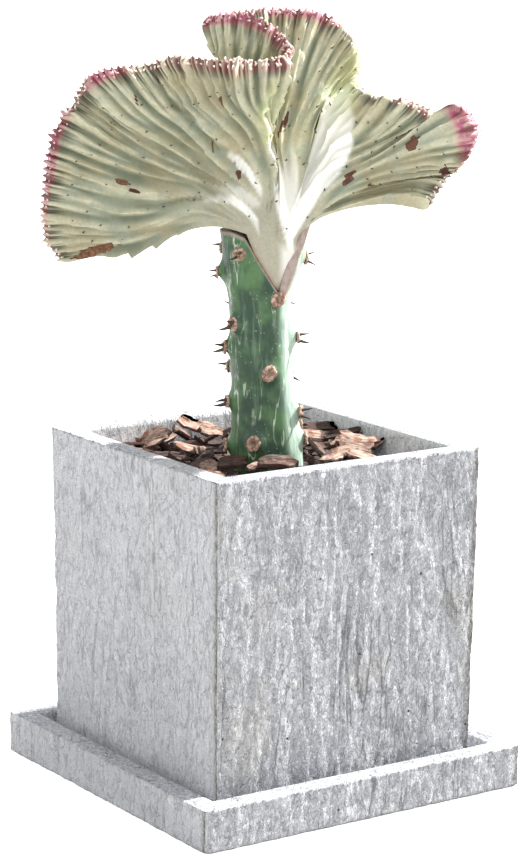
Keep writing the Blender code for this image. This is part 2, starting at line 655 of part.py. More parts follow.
def build_crest(flesh):
    loops, rows, normals, along = crest_loops()
    step = SAMPLES // SHEET_ROWS[-1][1]
    edge = rows[-1, ::step]
    wave = np.where(np.arange(len(edge)) % 2 == 0, 1.0, -0.6)[:, None] * unit(edge - rows[-2, ::step])
    slim = [[np.ones(len(loop[0])), np.ones(len(loop[0]))] for loop in loops]
    for _ in range(SLIM_ROUNDS):
        points, faces, ids = crest_skin(loops, edge + wave, slim)
        touched = touching_points(points, faces)
        if not touched:
            break
        for number, pair in enumerate(ids):
            for side in (0, 1):
                hit = np.array([k in touched for k in pair[side]])
                near = hit | np.roll(hit, 1) | np.roll(hit, -1)
                slim[number][side] = np.where(near, slim[number][side] * 0.88, slim[number][side])
    return make_object("crest", to_world(points), faces, flesh, smooth=True)


def main():
    clear_scene()
    cement = make_material("pale_cement", (0.55, 0.56, 0.57), 0.9)
    earth = make_material("earth", (0.10, 0.07, 0.05), 1.0)
    bark = make_material("bark", (0.38, 0.22, 0.14), 0.9)
    green = make_material("green_skin", (0.10, 0.20, 0.09), 0.5)
    pale = make_material("pale_green_flesh", (0.62, 0.66, 0.50), 0.5)
    build_saucer(cement)
    build_pot(cement)
    build_soil(earth)
    build_mulch(bark)
    build_stock(green)
    build_crest(pale)


main()
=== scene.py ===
import math
import random

import bpy
import numpy as np
from mathutils import Matrix, Vector, noise


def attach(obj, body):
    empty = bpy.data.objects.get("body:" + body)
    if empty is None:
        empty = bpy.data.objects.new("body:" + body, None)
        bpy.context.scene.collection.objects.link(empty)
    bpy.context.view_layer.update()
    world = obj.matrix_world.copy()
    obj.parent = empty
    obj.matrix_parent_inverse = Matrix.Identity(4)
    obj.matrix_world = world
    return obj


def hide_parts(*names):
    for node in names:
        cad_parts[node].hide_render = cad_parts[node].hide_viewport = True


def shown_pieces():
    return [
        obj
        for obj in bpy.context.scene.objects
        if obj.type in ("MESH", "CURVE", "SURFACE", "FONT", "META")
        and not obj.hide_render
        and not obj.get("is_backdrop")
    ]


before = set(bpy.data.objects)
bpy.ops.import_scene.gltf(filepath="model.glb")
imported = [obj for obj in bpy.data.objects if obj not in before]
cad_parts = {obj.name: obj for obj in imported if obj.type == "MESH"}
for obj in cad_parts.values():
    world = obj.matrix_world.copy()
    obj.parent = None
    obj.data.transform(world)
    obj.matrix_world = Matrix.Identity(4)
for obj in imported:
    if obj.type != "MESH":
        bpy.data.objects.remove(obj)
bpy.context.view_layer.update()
body = "root"

# shape tables are in mm as (spread, depth, z): the crest spreads along spreadAxis
mm = 0.001
spreadTurn = math.radians(-34.1)
spreadAxis = np.array([math.cos(spreadTurn), math.sin(spreadTurn), 0.0])
depthAxis = np.array([-math.sin(spreadTurn), math.cos(spreadTurn), 0.0])
upAxis = np.array([0.0, 0.0, 1.0])


def toWorld(points):
    points = np.asarray(points, float)
    return points[..., 0:1] * spreadAxis + points[..., 1:2] * depthAxis + points[..., 2:3] * upAxis


def smoothStep(low, high, x):
    k = np.clip((np.asarray(x, float) - low) / (high - low), 0.0, 1.0)
    return k * k * (3.0 - 2.0 * k)


def unit(vectors):
    return vectors / np.maximum(np.linalg.norm(vectors, axis=-1, keepdims=True), 1e-9)


def scatterValue(a, b=0.0):
    # repeatable random number from 0 to 1 for whole numbers a and b
    return np.modf(np.abs(np.sin(np.asarray(a, float) * 12.9898 + b * 78.233) * 43758.5453))[0]


def makeMesh(name, points, faces, smooth=True, material=None, values=None):
    # points in mm in world axes; values are named numbers for each point
    mesh = bpy.data.meshes.new(name)
    mesh.from_pydata([tuple(p) for p in (np.asarray(points, float) * mm).tolist()], [], faces)
    mesh.polygons.foreach_set("use_smooth", [smooth] * len(mesh.polygons))
    for label, numbers in (values or {}).items():
        layer = mesh.attributes.new(label, "FLOAT", "POINT")
        layer.data.foreach_set("value", np.asarray(numbers, np.float32))
    obj = bpy.data.objects.new(name, mesh)
    bpy.context.scene.collection.objects.link(obj)
    if material:
        mesh.materials.append(material)
    return obj


def addVectors(obj, label, vectors):
    layer = obj.data.attributes.new(label, "FLOAT_VECTOR", "POINT")
    layer.data.foreach_set("vector", np.asarray(vectors, np.float32).ravel())


def addPiece(obj, slotName, *nodes):
    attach(obj, body)
    if nodes:
        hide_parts(*nodes)


# node helpers
def putNode(tree, kind, spot, settings=None, inputs=None):
    node = tree.nodes.new(kind)
    node.location = (spot[0] * 190, spot[1] * -170)
    for label, value in (settings or {}).items():
        setattr(node, label, value)
    for label, value in (inputs or {}).items():
        node.inputs[label].default_value = value
    return node


def startTree(name, kind, inputs, outputs):
    # node group with named sockets, each given as label, kind and, where it has one, value
    tree = bpy.data.node_groups.new(name, kind)
    for side, rows in (("INPUT", inputs), ("OUTPUT", outputs)):
        for label, socketKind, *value in rows:
            socket = tree.interface.new_socket(name=label, in_out=side, socket_type="NodeSocket" + socketKind)
            if value:
                socket.default_value = value[0]
    return tree, putNode(tree, "NodeGroupInput", (0, 0))


def endTree(tree, column, geometry, start):
    # real geometry with the finish goes to the group's output
    real = putNode(tree, "GeometryNodeRealizeInstances", (column, 0))
    tree.links.new(geometry, real.inputs["Geometry"])
    finish = putNode(tree, "GeometryNodeSetMaterial", (column + 1, 0))
    tree.links.new(real.outputs["Geometry"], finish.inputs["Geometry"])
    tree.links.new(start.outputs["Finish"], finish.inputs["Material"])
    end = putNode(tree, "NodeGroupOutput", (column + 2, 0))
    tree.links.new(finish.outputs["Geometry"], end.inputs["Geometry"])
    return tree


def doMath(tree, spot, operation, first, second=None, third=None, clamp=False):
    node = putNode(tree, "ShaderNodeMath", spot, {"operation": operation, "use_clamp": clamp})
    for number, value in enumerate((first, second, third)):
        if value is None:
            continue
        if isinstance(value, (int, float)):
            node.inputs[number].default_value = value
        else:
            tree.links.new(value, node.inputs[number])
    return node.outputs[0]


def times(tree, spot, first, second):
    return doMath(tree, spot, "MULTIPLY", first, second)


def doVector(tree, spot, operation, first, second=None, scale=None):
    node = putNode(tree, "ShaderNodeVectorMath", spot, {"operation": operation})
    for number, value in enumerate((first, second)):
        if value is None:
            continue
        if isinstance(value, (tuple, list)):
            node.inputs[number].default_value = value
        else:
            tree.links.new(value, node.inputs[number])
    if scale is not None:
        if isinstance(scale, (int, float)):
            node.inputs["Scale"].default_value = scale
        else:
            tree.links.new(scale, node.inputs["Scale"])
    return node.outputs[0]


def remap(tree, spot, value, fromLow, fromHigh, toLow=0.0, toHigh=1.0, smooth=True):
    kind = "SMOOTHSTEP" if smooth else "LINEAR"
    node = putNode(tree, "ShaderNodeMapRange", spot, {"interpolation_type": kind, "clamp": True})
    tree.links.new(value, node.inputs["Value"])
    for label, number in (("From Min", fromLow), ("From Max", fromHigh), ("To Min", toLow),
                          ("To Max", toHigh)):
        if isinstance(number, (int, float)):
            node.inputs[label].default_value = number
        else:
            tree.links.new(number, node.inputs[label])
    return node.outputs["Result"]


def mixColor(tree, spot, share, first, second, blend="MIX"):
    node = putNode(tree, "ShaderNodeMix", spot, {"data_type": "RGBA", "blend_type": blend})
    sockets = [s for s in node.inputs if s.type == "RGBA"]
    for socket, value in ((node.inputs[0], share), (sockets[0], first), (sockets[1], second)):
        if isinstance(value, (int, float)):
            socket.default_value = value
        elif isinstance(value, tuple):
            socket.default_value = (*value, 1.0)
        else:
            tree.links.new(value, socket)
    return [s for s in node.outputs if s.type == "RGBA"][0]


def readValue(tree, spot, label):
    return putNode(tree, "ShaderNodeAttribute", spot, {"attribute_name": label}).outputs["Fac"]


# shader groups that several finishes share
def makePatchGroup():
    tree, start = startTree("patches", "ShaderNodeTree", (
        ("Vector", "Vector"), ("Scale", "Float", 50.0), ("Detail", "Float", 3.0), ("Low", "Float", 0.4),
        ("High", "Float", 0.6),
    ), (("Mask", "Float"),))
    cloud = putNode(tree, "ShaderNodeTexNoise", (1, 0), {"noise_dimensions": "3D"}, {"Roughness": 0.6})
    for label in ("Vector", "Scale", "Detail"):
        tree.links.new(start.outputs[label], cloud.inputs[label])
    mask = remap(tree, (2, 0), cloud.outputs[0], start.outputs["Low"], start.outputs["High"])
    tree.links.new(mask, putNode(tree, "NodeGroupOutput", (3, 0)).inputs["Mask"])
    return tree


def makeGrainGroup():
    tree, start = startTree("grain", "ShaderNodeTree", (
        ("Vector", "Vector"), ("Stretch", "Vector", (1.0, 1.0, 1.0)), ("Scale", "Float", 600.0),
        ("Bend", "Float", 0.3),
    ), (("Height", "Float"), ("Crack", "Float"),))
    place = doVector(tree, (1, 0), "MULTIPLY", start.outputs["Vector"], start.outputs["Stretch"])
    rough = putNode(tree, "ShaderNodeTexNoise", (2, 0), {"noise_dimensions": "3D"},
                    {"Detail": 6.0, "Roughness": 0.68})
    tree.links.new(place, rough.inputs["Vector"])
    tree.links.new(start.outputs["Scale"], rough.inputs["Scale"])
    tree.links.new(start.outputs["Bend"], rough.inputs["Distortion"])
    wide = putNode(tree, "ShaderNodeTexNoise", (2, 1), {"noise_dimensions": "3D"}, {"Detail": 3.0})
    tree.links.new(place, wide.inputs["Vector"])
    tree.links.new(times(tree, (1, 2), start.outputs["Scale"], 0.31), wide.inputs["Scale"])
    away = doMath(tree, (3, 1), "ABSOLUTE", doMath(tree, (3, 2), "SUBTRACT", wide.outputs[0], 0.5))
    crack = remap(tree, (4, 1), away, 0.0, 0.035, 1.0, 0.0)
    end = putNode(tree, "NodeGroupOutput", (5, 0))
    tree.links.new(rough.outputs[0], end.inputs["Height"])
    tree.links.new(crack, end.inputs["Crack"])
    return tree


def makeSpeckGroup():
    tree, start = startTree("specks", "ShaderNodeTree", (
        ("Vector", "Vector"), ("Scale", "Float", 200.0), ("Size", "Float", 0.2), ("Share", "Float", 0.3),
    ), (("Mask", "Float"),))
    cells = putNode(tree, "ShaderNodeTexVoronoi", (1, 0), {"feature": "F1"})
    tree.links.new(start.outputs["Vector"], cells.inputs["Vector"])
    tree.links.new(start.outputs["Scale"], cells.inputs["Scale"])
    inner = times(tree, (2, 2), start.outputs["Size"], 0.55)
    dot = remap(tree, (3, 0), cells.outputs["Distance"], inner, start.outputs["Size"], 1.0, 0.0)
    split = putNode(tree, "ShaderNodeSeparateColor", (2, 1))
    tree.links.new(cells.outputs["Color"], split.inputs[0])
    chosen = doMath(tree, (3, 1), "LESS_THAN", split.outputs[0], start.outputs["Share"])
    mask = times(tree, (4, 0), dot, chosen)
    tree.links.new(mask, putNode(tree, "NodeGroupOutput", (5, 0)).inputs["Mask"])
    return tree


patchGroup = makePatchGroup()
grainGroup = makeGrainGroup()
speckGroup = makeSpeckGroup()


def useGroup(tree, group, spot, place, values):
    node = putNode(tree, "ShaderNodeGroup", spot, {"node_tree": group})
    tree.links.new(place, node.inputs["Vector"])
    for label, value in values.items():
        node.inputs[label].default_value = value
    return node


def patchMask(tree, spot, place, scale, detail, low, high):
    values = {"Scale": scale, "Detail": detail, "Low": low, "High": high}
    return useGroup(tree, patchGroup, spot, place, values).outputs["Mask"]


def speckMask(tree, spot, place, scale, size, share):
    values = {"Scale": scale, "Size": size, "Share": share}
    return useGroup(tree, speckGroup, spot, place, values).outputs["Mask"]


def startMaterial(name, roughness, settings=None):
    material = bpy.data.materials.new(name)
    material.use_nodes = True
    tree = material.node_tree
    shader = tree.nodes["Principled BSDF"]
    shader.location = (2300, 0)
    tree.nodes["Material Output"].location = (2600, 0)
    shader.inputs["Roughness"].default_value = roughness
    for label, value in (settings or {}).items():
        shader.inputs[label].default_value = value
    place = putNode(tree, "ShaderNodeTexCoord", (0, 0)).outputs["Object"]
    return material, tree, shader, place


def addBump(tree, shader, height, distance, strength=1.0):
    bump = putNode(tree, "ShaderNodeBump", (11, 4), None, {"Strength": strength, "Distance": distance})
    tree.links.new(height, bump.inputs["Height"])
    tree.links.new(bump.outputs["Normal"], shader.inputs["Normal"])


def makeCleftGroup():
    # layered height: a bent noise cut into steps, with masks for a painted highlight on the thin edge of each
    # step and a painted shade line under it
    tree, start = startTree("cleft", "ShaderNodeTree", (
        ("Vector", "Vector"), ("Stretch", "Vector", (1.0, 1.0, 1.0)), ("Scale", "Float", 100.0),
        ("Bend", "Float", 1.0), ("Layers", "Float", 8.0), ("Detail", "Float", 4.0),
    ), (("Height", "Float"), ("Edge", "Float"), ("Shade", "Float"),))
    place = doVector(tree, (1, 0), "MULTIPLY", start.outputs["Vector"], start.outputs["Stretch"])
    cloud = putNode(tree, "ShaderNodeTexNoise", (2, 0), {"noise_dimensions": "3D"}, {"Roughness": 0.62})
    tree.links.new(place, cloud.inputs["Vector"])
    tree.links.new(start.outputs["Scale"], cloud.inputs["Scale"])
    tree.links.new(start.outputs["Bend"], cloud.inputs["Distortion"])
    tree.links.new(start.outputs["Detail"], cloud.inputs["Detail"])
    layer = times(tree, (3, 0), cloud.outputs[0], start.outputs["Layers"])
    part = doMath(tree, (4, 1), "FRACT", layer)
    step = doMath(tree, (5, 0), "ADD", doMath(tree, (4, 0), "FLOOR", layer),
                  remap(tree, (5, 1), part, 0.7, 1.0))
    height = doMath(tree, (6, 0), "DIVIDE", step, start.outputs["Layers"])
    fromEdge = doMath(tree, (4, 2), "ABSOLUTE", doMath(tree, (4, 3), "SUBTRACT", part, 0.86))
    edge = remap(tree, (5, 2), fromEdge, 0.0, 0.07, 1.0, 0.0)
    fromShade = doMath(tree, (4, 4), "ABSOLUTE", doMath(tree, (4, 5), "SUBTRACT", part, 0.72))
    shade = remap(tree, (5, 3), fromShade, 0.0, 0.08, 1.0, 0.0)
    end = putNode(tree, "NodeGroupOutput", (7, 0))
    tree.links.new(height, end.inputs["Height"])
    tree.links.new(edge, end.inputs["Edge"])
    tree.links.new(shade, end.inputs["Shade"])
    return tree


cleftGroup = makeCleftGroup()

# cement finish, read by pot and saucer
cementLook = {
    "dark": (0.24, 0.242, 0.275),
    "mid": (0.81, 0.825, 0.875),
    "pale": (0.94, 0.945, 0.965),
    "warm": (0.60, 0.585, 0.53),
    # line: dark lines, both the painted shade lines under the layer steps and the real cracks
    "line": (0.14, 0.137, 0.14),
    "pit": (0.030, 0.028, 0.028),
    "moss": (0.13, 0.12, 0.09),
    "grainScale": 620.0,
    "grainStretch": (1.0, 1.0, 0.45),
    "bumpDepth": 0.0022,
}


def makeCement():
    look = cementLook
    material, tree, shader, place = startMaterial("splitCement", 0.9)
    grain = useGroup(tree, grainGroup, (1, 0), place, {
        "Stretch": look["grainStretch"], "Scale": look["grainScale"], "Bend": 0.7,
    })
    cleft = useGroup(tree, cleftGroup, (1, 5), place, {
        "Stretch": (1.0, 1.0, 0.36), "Scale": 80.0, "Bend": 1.6, "Layers": 8.0,
    })
    wrinkle = useGroup(tree, cleftGroup, (1, 8), place, {
        "Stretch": (1.0, 1.0, 0.55), "Scale": 380.0, "Bend": 1.6, "Layers": 6.0, "Detail": 1.5,
    })
    broad = patchMask(tree, (1, 1), place, 38.0, 4.0, 0.38, 0.66)
    warm = patchMask(tree, (1, 2), place, 24.0, 2.0, 0.52, 0.72)
    here = patchMask(tree, (1, 9), place, 75.0, 3.0, 0.40, 0.58)
    pits = speckMask(tree, (1, 3), place, 170.0, 0.14, 0.10)
    bigPits = speckMask(tree, (1, 4), place, 60.0, 0.09, 0.10)
    relief = readValue(tree, (1, 6), "relief")
    corner = readValue(tree, (1, 7), "corner")
    outside = readValue(tree, (2, 6), "outer")
    crisp = readValue(tree, (2, 7), "crisp")
    grit = useGroup(tree, cleftGroup, (1, 10), place, {
        "Stretch": (1.0, 1.0, 0.7), "Scale": 760.0, "Bend": 1.2, "Layers": 5.0, "Detail": 0.6,
    })
    light = remap(tree, (3, 0), grain.outputs["Height"], 0.36, 0.64)
    gritty = remap(tree, (3, 10), grit.outputs["Height"], 0.38, 0.68)
    fissure = useGroup(tree, cleftGroup, (1, 11), place, {
        "Stretch": (1.0, 1.0, 0.13), "Scale": 34.0, "Bend": 0.8, "Layers": 5.0,
    })
    somewhere = patchMask(tree, (1, 12), place, 22.0, 2.0, 0.42, 0.55)
    high = remap(tree, (3, 1), relief, 0.2, 0.75)
    tone = mixColor(tree, (4, 0), light, look["dark"], look["pale"])
    tone = mixColor(tree, (5, 1), 0.6, tone, look["mid"])
    gritTone = mixColor(tree, (5, 10), gritty, look["dark"], look["pale"])
    tone = mixColor(tree, (5, 0), 0.48, tone, gritTone)
    tone = mixColor(tree, (6, 0), times(tree, (4, 2), broad, 0.25), tone, look["pale"])
    tone = mixColor(tree, (7, 0), times(tree, (4, 3), warm, 0.5), tone, look["warm"])
    # painted shade: the outer faces are darker where the stone's relief is low
    low = times(tree, (5, 4), doMath(tree, (4, 4), "SUBTRACT", 1.0, high), 0.26)
    tone = mixColor(tree, (8, 0), times(tree, (6, 4), low, outside), tone, look["dark"])
    # painted light: faces with less crisp detail, those looking along -X and the inner ones, are painted
    # paler
    tone = mixColor(tree, (8, 1), doMath(tree, (7, 7), "SUBTRACT", 1.0, crisp), tone, look["pale"])
    # painted highlight and shade: fine lines where the layers end, a painted shade line under each painted
    # highlight line
    keep = times(tree, (3, 7), crisp, remap(tree, (2, 8), here, 0.0, 1.0, 0.25, 1.0))
    fineShare = times(tree, (3, 8), remap(tree, (2, 9), crisp, 0.0, 1.0, 0.35, 1.0),
                      remap(tree, (2, 10), outside, 0.0, 1.0, 0.3, 1.0))
    shadeShare = times(tree, (4, 8), cleft.outputs["Shade"], times(tree, (4, 9), keep, 0.7))
    shadeShare = doMath(tree, (5, 8), "MAXIMUM", shadeShare,
                        times(tree, (4, 13), wrinkle.outputs["Shade"], fineShare))
    # long fissures get a painted shade line with a painted highlight beside it
    fissureShadeShare = times(tree, (4, 11), fissure.outputs["Shade"], times(tree, (3, 11), somewhere, crisp))
    shadeShare = doMath(tree, (6, 8), "MAXIMUM", shadeShare, times(tree, (5, 11), fissureShadeShare, 0.78))
    tone = mixColor(tree, (9, 1), shadeShare, tone, look["line"])
    highlightShare = times(tree, (4, 10), cleft.outputs["Edge"], times(tree, (3, 9), keep, 0.35))
    highlightShare = doMath(tree, (5, 9), "MAXIMUM", highlightShare,
                       times(tree, (4, 14), wrinkle.outputs["Edge"], times(tree, (3, 12), fineShare, 0.7)))
    fissureHighlightShare = times(tree, (4, 12), fissure.outputs["Edge"], somewhere)
    highlightShare = doMath(tree, (6, 9), "MAXIMUM", highlightShare, times(tree, (5, 12), fissureHighlightShare, 0.35))
    tone = mixColor(tree, (9, 0), highlightShare, tone, look["pale"])
    crackShare = times(tree, (5, 5), grain.outputs["Crack"], 0.3)
    tone = mixColor(tree, (10, 0), crackShare, tone, look["line"])
    mossShare = times(tree, (6, 7), corner,
                      remap(tree, (5, 7), grain.outputs["Height"], 0.62, 0.42, 0.45, 1.0))
    tone = mixColor(tree, (11, 0), mossShare, tone, look["moss"])
    holes = doMath(tree, (3, 4), "MAXIMUM", pits, bigPits)
    holes = times(tree, (4, 6), holes, outside)
    tone = mixColor(tree, (12, 0), holes, tone, look["pit"])
    tree.links.new(tone, shader.inputs["Base Color"])
    height = doMath(tree, (8, 4), "SUBTRACT", grain.outputs["Height"], times(tree, (7, 5), holes, 1.2))
    height = doMath(tree, (9, 4), "SUBTRACT", height, times(tree, (8, 5), grain.outputs["Crack"], 0.3))
    layered = times(tree, (9, 5), cleft.outputs["Height"], 0.9)
    layered = doMath(tree, (10, 5), "ADD", layered, times(tree, (9, 6), wrinkle.outputs["Height"], 1.5))
    height = doMath(tree, (9, 8), "ADD", height, times(tree, (8, 8), grit.outputs["Height"], 0.6))
    height = doMath(tree, (10, 4), "ADD", height, layered)
    addBump(tree, shader, height, look["bumpDepth"], 0.9)
    return material


# split stone: a Geometry Nodes tree pushes the marked faces in and out along their own direction
def makeSplitTree():
    tree, start = startTree("splitStone", "GeometryNodeTree", (
        ("Geometry", "Geometry"), ("Depth", "Float", 0.001), ("Grain Width", "Float", 0.006),
        ("Grain Height", "Float", 0.03), ("Layers", "Float", 6.0), ("Seed", "Float", 1.0),
        ("Finish", "Material"),
    ), (("Geometry", "Geometry"),))
    place = putNode(tree, "GeometryNodeInputPosition", (0, 2)).outputs[0]
    size = putNode(tree, "ShaderNodeCombineXYZ", (1, 3))
    tree.links.new(start.outputs["Grain Width"], size.inputs[0])
    tree.links.new(start.outputs["Grain Width"], size.inputs[1])
    tree.links.new(start.outputs["Grain Height"], size.inputs[2])
    scaled = doVector(tree, (2, 2), "DIVIDE", place, size.outputs[0])
    waves = []
    for number, (scale, detail, bend) in enumerate(((0.6, 3.0, 0.9), (2.4, 5.0, 0.8))):
        wave = putNode(tree, "ShaderNodeTexNoise", (3, number), {"noise_dimensions": "4D"}, {
            "Scale": scale, "Detail": detail, "Roughness": 0.6, "Distortion": bend,
        })
        tree.links.new(scaled, wave.inputs["Vector"])
        tree.links.new(start.outputs["Seed"], wave.inputs["W"])
        waves.append(wave.outputs[0])
    away = doMath(tree, (4, 2), "ABSOLUTE", doMath(tree, (4, 3), "SUBTRACT", waves[1], 0.5))
    split = remap(tree, (5, 2), away, 0.0, 0.025, 1.0, 0.0)
    # layers of the stone end in small steps
    layer = times(tree, (5, 0), remap(tree, (4, 0), waves[0], 0.25, 0.75, smooth=False),
                  start.outputs["Layers"])
    part = doMath(tree, (6, 1), "FRACT", layer)
    stepped = doMath(tree, (7, 1), "ADD", doMath(tree, (6, 0), "FLOOR", layer),
                     remap(tree, (7, 2), part, 0.62, 1.0))
    stepped = doMath(tree, (8, 2), "DIVIDE", stepped, start.outputs["Layers"])
    fibre = remap(tree, (5, 3), waves[1], 0.3, 0.7, smooth=False)
    relief = doMath(tree, (9, 2), "ADD", times(tree, (8, 3), stepped, 0.62),
                    times(tree, (8, 4), fibre, 0.38))
    relief = doMath(tree, (10, 2), "SUBTRACT", relief, times(tree, (9, 3), split, 0.16), clamp=True)
    marked = putNode(tree, "GeometryNodeInputNamedAttribute", (6, 3), {"data_type": "FLOAT"},
                     {"Name": "rough"})
    outward = putNode(tree, "GeometryNodeInputNamedAttribute", (6, 4), {"data_type": "FLOAT_VECTOR"},
                      {"Name": "outward"})
    push = times(tree, (8, 1), doMath(tree, (7, 1), "SUBTRACT", relief, 0.85), start.outputs["Depth"])
    push = times(tree, (9, 1), push, marked.outputs["Attribute"])
    shift = doVector(tree, (10, 1), "SCALE", outward.outputs["Attribute"], scale=push)
    store = putNode(tree, "GeometryNodeStoreNamedAttribute", (10, 0),
                    {"data_type": "FLOAT", "domain": "POINT"}, {"Name": "relief"})
    tree.links.new(start.outputs["Geometry"], store.inputs["Geometry"])
    tree.links.new(relief, store.inputs["Value"])
    move = putNode(tree, "GeometryNodeSetPosition", (11, 0))
    tree.links.new(store.outputs["Geometry"], move.inputs["Geometry"])
    tree.links.new(shift, move.inputs["Offset"])
    return endTree(tree, 12, move.outputs["Geometry"], start)


def runTree(obj, tree, values):
    # the tree's result becomes the object's plain mesh
    modifier = obj.modifiers.new(tree.name, "NODES")
    modifier.node_group = tree
    for item in tree.interface.items_tree:
        if item.item_type == "SOCKET" and item.in_out == "INPUT" and item.name in values:
            modifier[item.identifier] = values[item.name]
    graph = bpy.context.evaluated_depsgraph_get()
    mesh = bpy.data.meshes.new_from_object(obj.evaluated_get(graph), preserve_all_data_layers=True,
                                           depsgraph=graph)
    obj.modifiers.clear()
    obj.data = mesh
    mesh.name = obj.name
    return obj


def squareRing(side, z, perSide, corner=0.0):
    # points round a square with the outward direction of each; corner rounds it, in mm
    half = side / 2
    spots = ((-half, -half), (half, -half), (half, half), (-half, half))
    points = []
    outward = []
    for i in range(4):
        (x0, y0), (x1, y1) = spots[i], spots[(i + 1) % 4]
        normal = np.array(((y1 - y0) / side, (x0 - x1) / side, 0.0))
        before = np.array(((y0 - spots[i - 1][1]) / side, (spots[i - 1][0] - x0) / side, 0.0))
        after = np.array(((spots[(i + 2) % 4][1] - y1) / side, (x1 - spots[(i + 2) % 4][0]) / side, 0.0))
        for k in range(perSide):
            share = k / perSide
            point = np.array((x0 + (x1 - x0) * share, y0 + (y1 - y0) * share, z))
            near = max(0.0, 1.0 - share * side / max(corner, 1e-6))
            far = max(0.0, 1.0 - (1.0 - share) * side / max(corner, 1e-6))
            direction = unit(normal + before * near + after * far)
            point -= (normal + before) * 0.29 * corner * near**2 + (normal + after) * 0.29 * corner * far**2
            points.append(point)
            outward.append(direction)
    return np.array(points), np.array(outward)


def circleRing(radius, z, perSide):
    # the same count and order of points as squareRing, on a circle
    points, _ = squareRing(2.0, z, perSide)
    flat = unit(points[:, :2]) * radius
    return np.column_stack([flat, np.full(len(flat), z)]), np.column_stack([unit(flat), np.zeros(len(flat))])


def loftRings(rings, count, closed=False):
    # faces between rings of count points each; closed joins the last ring to the first
    faces = []
    for level in range(rings if closed else rings - 1):
        lower = level * count
        upper = ((level + 1) % rings) * count
        for k in range(count):
            n = (k + 1) % count
            faces.append((lower + k, lower + n, upper + n, upper + k))
    return faces


potForm = {
    "baseZ": 10.3, "topZ": 167.8, "baseSide": 148.2, "topSide": 150.8, "wall": 11.5, "floor": 12.0,
    "drain": 8.0,
    "perSide": 120, "levels": 104, "corner": 1.6, "depth": 1.9, "grainWidth": 0.0085, "grainHeight": 0.042,
    # calm: how much the faces looking along -X lose crisp detail and are painted paler as painted light
    "edgeChips": 1.6, "layers": 7.0, "seed": 3.0, "calm": 0.52, "chipSeed": 2.0, "innerLevels": 14,
    # how far in from the outer edge, and roughness there
    "rim": ((1.1, 0.22), (3.2, 0.12), (6.5, 0.12), (9.8, 0.12)), "rimDrop": 0.4,
}
saucerForm = {
    "side": 184.0, "height": 21.0, "floor": 10.0, "wall": 12.0, "perSide": 140, "levels": 18, "corner": 3.6,
    "bevel": 1.4,
    "depth": 1.7, "grainWidth": 0.0075, "grainHeight": 0.028, "edgeChips": 1.4, "layers": 6.0, "seed": 8.0,
    # calm: how much the faces looking along -X lose crisp detail and are painted paler as painted light
    "calm": 0.65, "chipSeed": 5.0, "innerLevels": 7,
    "rim": ((1.2, 0.22), (3.2, 0.12), (6.5, 0.12), (9.6, 0.12)), "rimDrop": 0.3,
    "floorSides": (120.0, 60.0, 8.0),
}
rimBevel = {"within": 1.5, "drop": 0.2}
innerWall = {"corner": 0.6, "rough": 0.3, "outer": 0.4}


def chipEdge(ring, depth, seed):
    # how far each point of a rim drops where the edge is broken
    drop = []
    for x, y, _ in ring:
        spot = Vector((x * 0.11, y * 0.11, seed))
        value = noise.noise(spot) * 0.4 + noise.noise(spot * 4.1) * 0.6 + noise.noise(spot * 11.0) * 0.4
        drop.append(max(0.0, value + 0.05) * depth)
    return np.array(drop)


def cornerMark(count):
    # 1 beside the end of each side of a square ring, fading over its last few points
    perSide = count // 4
    left = perSide - np.arange(count) % perSide
    return np.exp(-(((left - 1) / 1.9) ** 2))


def crispVsPaintedLightShare(outward, outer, loss):
    # the outer faces looking along -X, which lie in shade, are smoother and painted paler as painted light;
    # the inner faces are smoother and paler too
    share = 1.0 - loss * smoothStep(-0.4, -0.9, outward[:, 0])
    return share * np.where((outer > 0.1) & (outer < 0.9), 0.5, 1.0)


def rimHeight(top, inset):
    return top - (rimBevel["drop"] if inset < rimBevel["within"] else 0.0)


def buildBlock(name, rings, cement, form, capped):
    # rings hold points, directions, roughness, and 1 on the outer faces; capped closes both ends with a face
    count = len(rings[0][0])
    faces = loftRings(len(rings), count, not capped)
    if capped:
        faces += [tuple(range(count))[::-1], tuple((len(rings) - 1) * count + k for k in range(count))]
    points = np.concatenate([ring[0] for ring in rings])
    outward = np.concatenate([ring[1] for ring in rings])
    rough = np.concatenate([np.broadcast_to(ring[2], len(ring[0])) for ring in rings])
    outer = np.concatenate([np.full(len(ring[0]), ring[3]) for ring in rings])
    corner = np.concatenate([cornerMark(len(ring[0])) * (ring[3] > 0.9) for ring in rings])
    obj = makeMesh(name, points, faces, True, None, {
        "rough": rough, "outer": outer, "corner": corner, "crisp": crispVsPaintedLightShare(outward, outer, form["calm"]),
    })
    addVectors(obj, "outward", outward)
    runTree(obj, splitTree, {
        "Depth": form["depth"] * mm, "Grain Width": form["grainWidth"], "Grain Height": form["grainHeight"],
        "Layers": form["layers"], "Seed": form["seed"], "Finish": cement,
    })
    return obj


